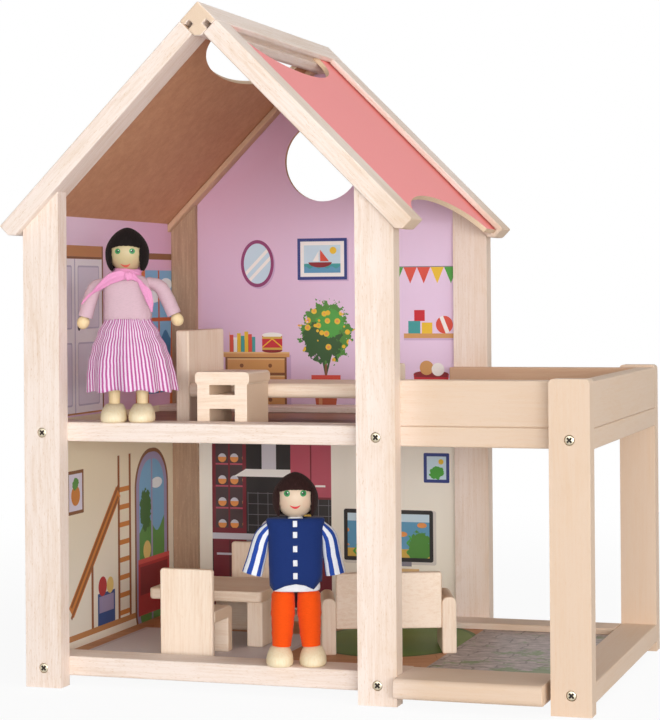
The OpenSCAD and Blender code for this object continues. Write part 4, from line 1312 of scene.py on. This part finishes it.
def make_blouse(who, blouse):
    """Her blouse, gathered into the waist."""
    rings = []
    for z, wide, deep in ((57.5, 12.6, 7.8), (59, 13.4, 8.3), (60.5, 13.7, 8.5), (64, 13.4, 8.4),
                          (69, 13.3, 8.4), (74, 13.5, 8.3), (77.5, 13.7, 7.9), (80, 13.0, 7.3),
                          (82, 10.6, 6.4), (83.6, 7.4, 5.2), (85, 4.6, 4.4), (86, 4.0, 4.0)):
        ring = oval(64, wide, deep, z, power=2.5)
        for k, spot in enumerate(ring):
            pucker = 0.16 * math.sin(k * 1.9) * max(0, 1 - abs(z - 60) / 9)
            spot.x *= 1 + pucker / wide
            spot.y *= 1 + pucker / deep
        rings.append(ring)
    make_shell("woman_blouse", who, rings, blouse)


def make_skirt(who, skirt_cloth, folds):
    """A bell of striped cloth, with soft folds down to a wavy hem."""
    rings = []
    count, levels = 144, 26
    for level in range(levels + 1):
        t = level / levels
        wide = between([12.9, 17.4, 20.9, 23.2, 24.4, 24.9], t)
        deep = between([8.8, 13.4, 17.0, 19.6, 21.2, 22.0], t)
        ring = []
        for k in range(count):
            a = 2 * math.pi * k / count
            fold = math.sin(a * folds + 0.9 * math.sin(a * 2 + 1) + 0.5 * t)
            small = math.sin(a * 23 + 1.3 * math.sin(3 * a))
            out = 1.35 * t ** 1.1 * fold + 0.5 * math.exp(-t * 6) * small
            out += 0.5 * t * math.sin(a * 5 + 2)
            drop = 40.7 * t + 0.55 * fold * t ** 4 - 0.5 * math.sin(a * 3) * t ** 3
            ring.append(Vector(((wide + out) * math.cos(a) + 2.4 * t ** 1.6,
                                (deep + out) * math.sin(a), 58.6 - drop)))
        rings.append(ring)
    skirt = make_shell("woman_skirt", who, rings, skirt_cloth, closed=False,
                       uv_size=(66, 42))
    thicken(skirt, 0.6)
    area = cloth_area(skirt)
    area / 0.042


def make_scarf_roll(who, scarf):
    """The scarf's roll round the neck."""
    bm = bmesh.new()
    bmesh.ops.create_circle(bm, segments=14, radius=1)
    bmesh.ops.transform(bm, matrix=Matrix.Rotation(math.radians(90), 4, "X"), verts=bm.verts)
    bmesh.ops.scale(bm, verts=bm.verts, vec=(1.7, 1, 2.0))
    bmesh.ops.translate(bm, verts=bm.verts, vec=(5.9, 0, 0))
    bmesh.ops.spin(bm, geom=bm.verts[:] + bm.edges[:], cent=(0, 0, 0), axis=(0, 0, 1),
                   angle=2 * math.pi, steps=48, use_merge=True)
    for vert in bm.verts:
        a = math.atan2(vert.co.y, vert.co.x)
        around = math.hypot(vert.co.x, vert.co.y)
        pleat = 1 + 0.07 * math.sin(6 * a + vert.co.z * 2.2)
        vert.co.x *= pleat * 1.12
        vert.co.y *= pleat
        vert.co.z += 85.2 + 0.35 * math.sin(2 * a) + (0.9 if vert.co.y > 0 else 0) - 0.06 * (around - 6)
    stand(bm, who)
    roll = link("woman_scarf_roll", bm, "woman", scarf, smooth=180)
    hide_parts("woman_scarf")


def make_scarf_ends(who, scarf):
    """The scarf's wide fold, which follows the shoulder, and its hanging tail."""
    shoulder = make_strip("woman_scarf_fold", who, [
        ((1.5, -8.6, 83.0), (0.25, -0.1, 1)), ((-5, -9.0, 82.6), (0.35, -0.3, 1)),
        ((-12.0, -8.2, 79.6), (0.5, -0.4, 1)), ((-18.6, -6.8, 74.6), (0.75, -0.35, 1)),
        ((-25.2, -5.4, 67.2), (0.9, -0.3, 0.7))], (1.8, 3.8, 5.0, 4.0, 0.7), scarf, None)
    tail = make_strip("woman_scarf_tail", who, [
        ((2.5, -8.8, 83.0), (-0.2, 0, 1)), ((7.6, -9.3, 81.2), (-0.7, 0, 1)),
        ((11.2, -9.6, 76), (-1, 0, 0.4)), ((13.4, -9.5, 69.5), (-1, 0, 0.3)),
        ((15.0, -9.0, 62.5), (-1, 0, 0.3))], (1.8, 3.7, 3.6, 2.6, 0.5), scarf, "woman")
    for band in (shoulder, tail):
        area = cloth_area(band)
        area / 0.01
    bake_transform(shoulder)


def make_scarf_knot(who, scarf):
    """The scarf's small pinched knot."""
    bm = bmesh.new()
    bmesh.ops.create_uvsphere(bm, u_segments=28, v_segments=18, radius=2.9)
    for vert in bm.verts:
        x, y, z = vert.co
        pinch = 1 - 0.16 * math.exp(-(x + 0.4 * z) ** 2 * 2.2)
        vert.co = (x * 1.02 * pinch + 1.9, y * 0.75 * pinch - 9.0,
                   z * 0.92 + 83.0 + 0.25 * math.sin(3 * x))
    stand(bm, who)
    knot = link("woman_scarf_knot", bm, "woman", scarf, smooth=180)


def make_woman_arms(who, blouse, limb):
    """Soft sleeves with ball hands."""
    for side, sign, reach, drop in (("left", -1, 9.5, 24), ("right", 1, 12.5, 22)):
        run, bow = arm_line(sign, reach, drop)
        start = Vector((sign * 17.5, 0, 77))
        sleeve = make_limb(f"woman_sleeve_{side}", who,
                           [Vector((sign * 11.4, 0.4, 79.6)), start + bow * 0.6 + run * 0.5,
                            start + run * 8 + bow * 1.0, start + run * 18.4],
                           [(3.0, 3.6), (3.9, 4.1), (4.2, 4.2), (4.1, 4.0)], blouse,
                           f"woman_arm_{side}", open_end=True, wrinkle=0.03)
        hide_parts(f"woman_arm_{side}")
        make_hand(f"woman_hand_{side}", who, start + run * 21.8, run, limb, f"woman_arm_{side}")


def make_woman_legs(who, limb, shoe):
    """Bare wooden legs with their shoes."""
    for side, sign in (("left", -1), ("right", 1)):
        body = f"woman_leg_{side}"
        leg = make_limb(f"woman_leg_{side}_piece", who,
                        [(sign * 8, 0, 51.5), (sign * 8, 0, 36), (sign * 8, 0, 20), (sign * 8, 0, 9.6)],
                        [(3.5, 3.5), (3.6, 3.6), (3.5, 3.5), (3.2, 3.2)], limb, body)
        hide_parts(f"woman_leg_{side}")
        make_shoe(who, side, sign * 8, 0.62, shoe, body)


class DOLLHOUSE_OT_woman(bpy.types.Operator):
    """Make the woman doll and her clothes"""
    bl_idname = "dollhouse.woman"
    bl_label = "Woman"

    def execute(self, context):
        d = context.scene.dollhouse_dolls
        who, turn = "woman", d.woman_turn
        centre = head_centre(who, WOMAN_HEAD_Z)
        # Her skin is darkened to paint the slight shade on her face
        face = painted_face("woman_face", centre, turn, (4.1, 0.4, 1.6), (-8.6, 2.8, 1.9),
                            shaded(d.skin, 0.66, 0.65, 0.56), d.green, linear("#D9604E"))
        make_head(who, WOMAN_HEAD_Z, face)
        make_hair(who, WOMAN_HEAD_Z, 3.7, 10.6, 8.8, 12.5,
                  hair_material("woman_hair", centre, d.woman_hair))
        blouse = cloth("woman_blouse_cloth", plain(d.blouse), turn)
        scarf = cloth("woman_scarf_cloth", plain(d.scarf), turn, 0.7)
        limb = turned_wood("woman_limb_wood", d.hand)
        shoe = turned_wood("woman_shoe_wood", d.shoe)
        skirt_cloth = cloth("woman_skirt_cloth", striped(d.skirt, d.stripe, 0.94, 0.5), turn, 0.8)
        make_blouse(who, blouse)
        make_skirt(who, skirt_cloth, d.skirt_folds)
        make_scarf_roll(who, scarf)
        make_scarf_ends(who, scarf)
        make_scarf_knot(who, scarf)
        make_woman_arms(who, blouse, limb)
        make_woman_legs(who, limb, shoe)
        return {"FINISHED"}


# The vest's hem at the front, from left to right: how far aside and how high, in mm over the boy's feet
HEM = ((-15.5, 45.0), (-12.4, 41.4), (-6, 44.3), (0, 45.4), (5, 44.6), (9.9, 42.2), (13, 45.6),
       (15.5, 47.4))
HEM_BACK = 45.2


def hem_height(x, y):
    """How high the vest's hem is over a point of its outline."""
    if y > 0:
        return HEM_BACK
    for (x0, z0), (x1, z1) in zip(HEM, HEM[1:]):
        if x <= x1:
            return z0 + (z1 - z0) * max(0, x - x0) / (x1 - x0)
    return HEM[-1][1]


def make_shirt(who, shirt):
    """His shirt, with its neck."""
    rings = [oval(56, wide, deep, z, power=2.6) for z, wide, deep in (
        (40.9, 12.4, 7.4), (41.2, 13.3, 7.9), (42.5, 13.6, 8.1), (48, 13.2, 7.9), (60, 12.8, 7.5),
        (72, 12.8, 7.0), (78, 12.6, 6.0), (79.6, 8.0, 5.0), (80.4, 4.4, 4.4), (81.6, 4.0, 4.0),
        (82, 3.2, 3.2))]
    make_shell("boy_shirt", who, rings, shirt)


def make_vest(who, vest_cloth):
    """His vest, with square shoulders and a hem with two points in front."""
    rings = []
    shape = ((0, 14.6, 8.9), (0.12, 14.8, 9.0), (0.3, 15.0, 9.0), (0.5, 15.1, 9.0), (0.7, 15.3, 8.9),
             (0.85, 15.7, 8.4), (0.95, 16.2, 7.4), (1.0, 16.3, 6.4))
    for t, wide, deep in shape:
        ring = []
        for spot in oval(96, wide, deep, 0, power=2.9):
            low = hem_height(spot.x, spot.y)
            ring.append(Vector((spot.x, spot.y, low + (80.2 - low) * t)))
        rings.append(ring)
    for z, wide, deep in ((81.0, 15.6, 5.4), (81.3, 13.0, 4.9), (81.2, 8.5, 4.6), (81.0, 5.2, 4.4)):
        rings.append(oval(96, wide, deep, z, power=2.6))
    vest = make_shell("boy_vest", who, rings, vest_cloth, smooth=70, closed=False)
    thicken(vest, 0.5)
    area = cloth_area(vest)
    area / 0.038


def make_vest_tabs(who, shirt):
    """White tabs down the front of the vest."""
    bm = bmesh.new()
    for z, deep in ((78.6, 8.3), (72.6, 9.0), (64.8, 9.05), (57.0, 9.1), (49.9, 9.05)):
        tab = bmesh.ops.create_cube(bm, size=1)["verts"]
        bmesh.ops.scale(bm, verts=tab, vec=(2.4, 0.5, 3.4))
        bmesh.ops.translate(bm, verts=tab, vec=(-0.2, -deep, z))
    bmesh.ops.bevel(bm, geom=bm.edges[:], offset=0.18, segments=2, affect="EDGES", profile=0.5,
                    material=-1)
    stand(bm, who)
    tabs = link("boy_vest_tabs", bm, "boy", shirt, smooth=60)


def make_boy_arms(who, sleeve_cloth, limb):
    """Striped sleeves with ball hands."""
    for side, sign, reach, drop in (("left", -1, 8, 28), ("right", 1, 5, 27)):
        run = arm_line(sign, reach, drop)[0]
        start = Vector((sign * 17.8, 0, 73))
        sleeve = make_limb(f"boy_sleeve_{side}", who,
                           [Vector((sign * 13.2, 0.3, 77.4)), start + run * 2.5, start + run * 12.5,
                            start + run * 23.6],
                           [(3.2, 4.0), (4.7, 4.8), (5.2, 5.2), (5.7, 5.6)], sleeve_cloth,
                           f"boy_arm_{side}", open_end=True, uv=(32.4, 30))
        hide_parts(f"boy_arm_{side}")
        make_hand(f"boy_hand_{side}", who, start + run * 20.6, run, limb, f"boy_arm_{side}")


def make_boy_legs(who, denim, shoe):
    """Trouser legs with their shoes."""
    for side, sign in (("left", -1), ("right", 1)):
        body = f"boy_leg_{side}"
        leg = make_limb(f"boy_trouser_{side}_piece", who,
                        [(sign * 7.2, 0, 39.0), (sign * 7.3, 0, 30), (sign * 7.7, 0, 19),
                         (sign * 8.2, 0, 10.2)],
                        [(6.4, 6.9), (6.7, 7.2), (6.0, 6.5), (5.2, 5.6)], denim, body,
                        open_end=True, wrinkle=0.03)
        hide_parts(f"boy_trouser_{side}")
        foot = make_shoe(who, side, sign * 9.2, 0.95, shoe, body)
        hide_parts(f"boy_foot_{side}")


class DOLLHOUSE_OT_boy(bpy.types.Operator):
    """Make the boy doll and his clothes"""
    bl_idname = "dollhouse.boy"
    bl_label = "Boy"

    def execute(self, context):
        d = context.scene.dollhouse_dolls
        who, turn = "boy", d.boy_turn
        centre = head_centre(who, BOY_HEAD_Z)
        face = painted_face("boy_face", centre, turn, (4.5, 3.0, 1.7), (-5.4, 2.9, 1.9),
                            shaded(d.skin, 0.84, 0.8, 0.92), d.green, linear("#D8323A"))
        make_head(who, BOY_HEAD_Z, face)
        make_hair(who, BOY_HEAD_Z, 5.5, 10.2, 9.6, 12.8,
                  hair_material("boy_hair", centre, d.boy_hair))
        vest_cloth = cloth("boy_vest_cloth", plain(d.vest), turn)
        shirt = cloth("boy_shirt_cloth", plain(linear("#EDEFF4")), turn)
        denim = cloth("boy_trouser_cloth", plain(d.trousers), turn)
        sleeve_cloth = cloth("boy_sleeve_cloth", striped(linear("#EEF1F8"), d.sleeve, 5.4, 0.5), turn)
        limb = turned_wood("boy_limb_wood", d.hand)
        shoe = turned_wood("boy_shoe_wood", d.shoe)
        make_shirt(who, shirt)
        make_vest(who, vest_cloth)
        make_vest_tabs(who, shirt)
        make_boy_arms(who, sleeve_cloth, limb)
        make_boy_legs(who, denim, shoe)
        return {"FINISHED"}


# ---- Stage

# The camera, in the frame's metres and in radians
CAMERA_SPOT = (0.377234, -1.156631, 0.222902)
YAW = 0.306765
PITCH = 0.002171
ROLL = -0.007837
# How far the picture is moved aside and up, in widths of it
SHIFT = (-0.0472, -0.1099)
# What every lamp points at
AIM = Vector((0, 0, 0.17))
# From and to how far out, in mm, the floor's shadow fades to white
SHADOW_FADE = (260, 900)


def make_floor(scene, shadow):
    """A wide white floor that keeps the shadow close to the house."""
    bm = bmesh.new()
    bmesh.ops.create_grid(bm, x_segments=4, y_segments=4, size=12)
    mesh = bpy.data.meshes.new("floor")
    bm.to_mesh(mesh)
    bm.free()
    floor = bpy.data.objects.new("floor", mesh)
    scene.collection.objects.link(floor)
    look = Shader("floor_white", Roughness=0.9, Base_Color=(0.86, 0.86, 0.86))
    x, y = look.split(look.place())[:2]
    away = ((x * x + y * y) ** 0.5).ease(*SHADOW_FADE)
    from_camera = look.node("ShaderNodeLightPath")
    seen = from_camera.most(look.node("ShaderNodeLightPath", output="Is Glossy Ray"))
    glow = look.tree.nodes.new("ShaderNodeEmission")
    both = look.tree.nodes.new("ShaderNodeMixShader")
    look.feed(both.inputs[0], seen * (away * (1 - shadow) + shadow))
    look.tree.links.new(look.surface.outputs[0], both.inputs[1])
    look.tree.links.new(glow.outputs[0], both.inputs[2])
    output = next(n for n in look.tree.nodes if n.type == "OUTPUT_MATERIAL")
    look.tree.links.new(both.outputs[0], output.inputs["Surface"])
    mesh.materials.append(look.material)


def make_room_light(scene, strength):
    """Soft light from all round, and a white background."""
    world = bpy.data.worlds.new("studio")
    scene.world = world
    world.use_nodes = True
    tree = world.node_tree
    tree.nodes.clear()
    path = tree.nodes.new("ShaderNodeLightPath")
    room = tree.nodes.new("ShaderNodeBackground")
    room.inputs["Strength"].default_value = strength
    white = tree.nodes.new("ShaderNodeBackground")
    white.inputs["Strength"].default_value = 1
    for shade in (room, white):
        shade.inputs["Color"].default_value = (1, 1, 1, 1)
    either = tree.nodes.new("ShaderNodeMath")
    either.operation = "MAXIMUM"
    tree.links.new(path.outputs["Is Camera Ray"], either.inputs[0])
    tree.links.new(path.outputs["Is Glossy Ray"], either.inputs[1])
    mixed = tree.nodes.new("ShaderNodeMixShader")
    tree.links.new(either.outputs[0], mixed.inputs[0])
    tree.links.new(room.outputs[0], mixed.inputs[1])
    tree.links.new(white.outputs[0], mixed.inputs[2])
    out = tree.nodes.new("ShaderNodeOutputWorld")
    tree.links.new(mixed.outputs[0], out.inputs["Surface"])


def make_lamps(scene, s):
    """Four soft lamps, each with its place, width, height and strength."""
    for name, spot, wide, tall, energy in (("key", (-0.45, -2.2, 0.85), 1.5, 1.5, s.key),
                                           ("low", (0.85, -1.8, 0.27), 1.6, 0.5, s.low),
                                           ("side", (2.3, -1.0, 0.6), 1.6, 1.6, s.side),
                                           ("top", (0.9, -0.3, 1.9), 1.6, 1.6, s.top)):
        lamp = bpy.data.lights.new(name, "AREA")
        lamp.shape = "ELLIPSE"
        lamp.size = wide
        lamp.size_y = tall
        lamp.energy = energy
        stand_in = bpy.data.objects.new(name, lamp)
        stand_in.location = spot
        stand_in.rotation_euler = (AIM - Vector(spot)).to_track_quat("-Z", "Y").to_euler()
        scene.collection.objects.link(stand_in)


def make_camera(scene, focal):
    """The camera, aimed by its three angles."""
    lens = bpy.data.cameras.new("camera")
    lens.sensor_width = 36
    lens.sensor_fit = "HORIZONTAL"
    lens.lens = focal
    lens.shift_x, lens.shift_y = SHIFT
    lens.clip_end = 60
    ahead = Vector((-math.sin(YAW) * math.cos(PITCH), math.cos(YAW) * math.cos(PITCH), math.sin(PITCH)))
    level = ahead.cross(Vector((0, 0, 1))).normalized()
    upright = level.cross(ahead)
    right = math.cos(ROLL) * level + math.sin(ROLL) * upright
    up = -math.sin(ROLL) * level + math.cos(ROLL) * upright
    camera = bpy.data.objects.new("camera", lens)
    turned = Matrix((right, up, -ahead)).transposed().to_4x4()
    camera.matrix_world = Matrix.Translation(CAMERA_SPOT) @ turned
    scene.collection.objects.link(camera)
    scene.camera = camera


class DOLLHOUSE_OT_stage(bpy.types.Operator):
    """Make the floor, the light and the camera"""
    bl_idname = "dollhouse.stage"
    bl_label = "Stage"

    def execute(self, context):
        scene = context.scene
        s = scene.dollhouse_stage
        scene.view_settings.view_transform = "Standard"
        make_floor(scene, s.shadow)
        make_room_light(scene, s.sky)
        make_lamps(scene, s)
        make_camera(scene, s.lens)
        return {"FINISHED"}


# ---- Add-on

OPERATORS = (DOLLHOUSE_OT_frame, DOLLHOUSE_OT_boards, DOLLHOUSE_OT_furniture, DOLLHOUSE_OT_woman,
             DOLLHOUSE_OT_boy, DOLLHOUSE_OT_stage)


class DOLLHOUSE_PT_panel(bpy.types.Panel):
    """Lists the dollhouse's settings and pieces"""
    bl_idname = "DOLLHOUSE_PT_panel"
    bl_label = "Dollhouse"
    bl_space_type = "VIEW_3D"
    bl_region_type = "UI"
    bl_category = "Dollhouse"

    def draw(self, context):
        for name, group in SETTINGS.items():
            box = self.layout.box()
            for setting in group.__annotations__:
                box.prop(getattr(context.scene, name), setting)
        for operator in OPERATORS:
            self.layout.operator(operator.bl_idname)


CLASSES = (*SETTINGS.values(), *OPERATORS, DOLLHOUSE_PT_panel)


def register():
    """Adds the classes and the settings on the scene."""
    for entry in CLASSES:
        bpy.utils.register_class(entry)
    for name, group in SETTINGS.items():
        setattr(bpy.types.Scene, name, PointerProperty(type=group))


def unregister():
    """Takes them away again."""
    for name in SETTINGS:
        delattr(bpy.types.Scene, name)
    for entry in reversed(CLASSES):
        bpy.utils.unregister_class(entry)


def main():
    """Makes every piece."""
    register()
    bpy.ops.dollhouse.stage()
    bpy.ops.dollhouse.frame()
    bpy.ops.dollhouse.boards()
    bpy.ops.dollhouse.furniture()
    bpy.ops.dollhouse.woman()
    bpy.ops.dollhouse.boy()


if __name__ == "__main__":
    main()
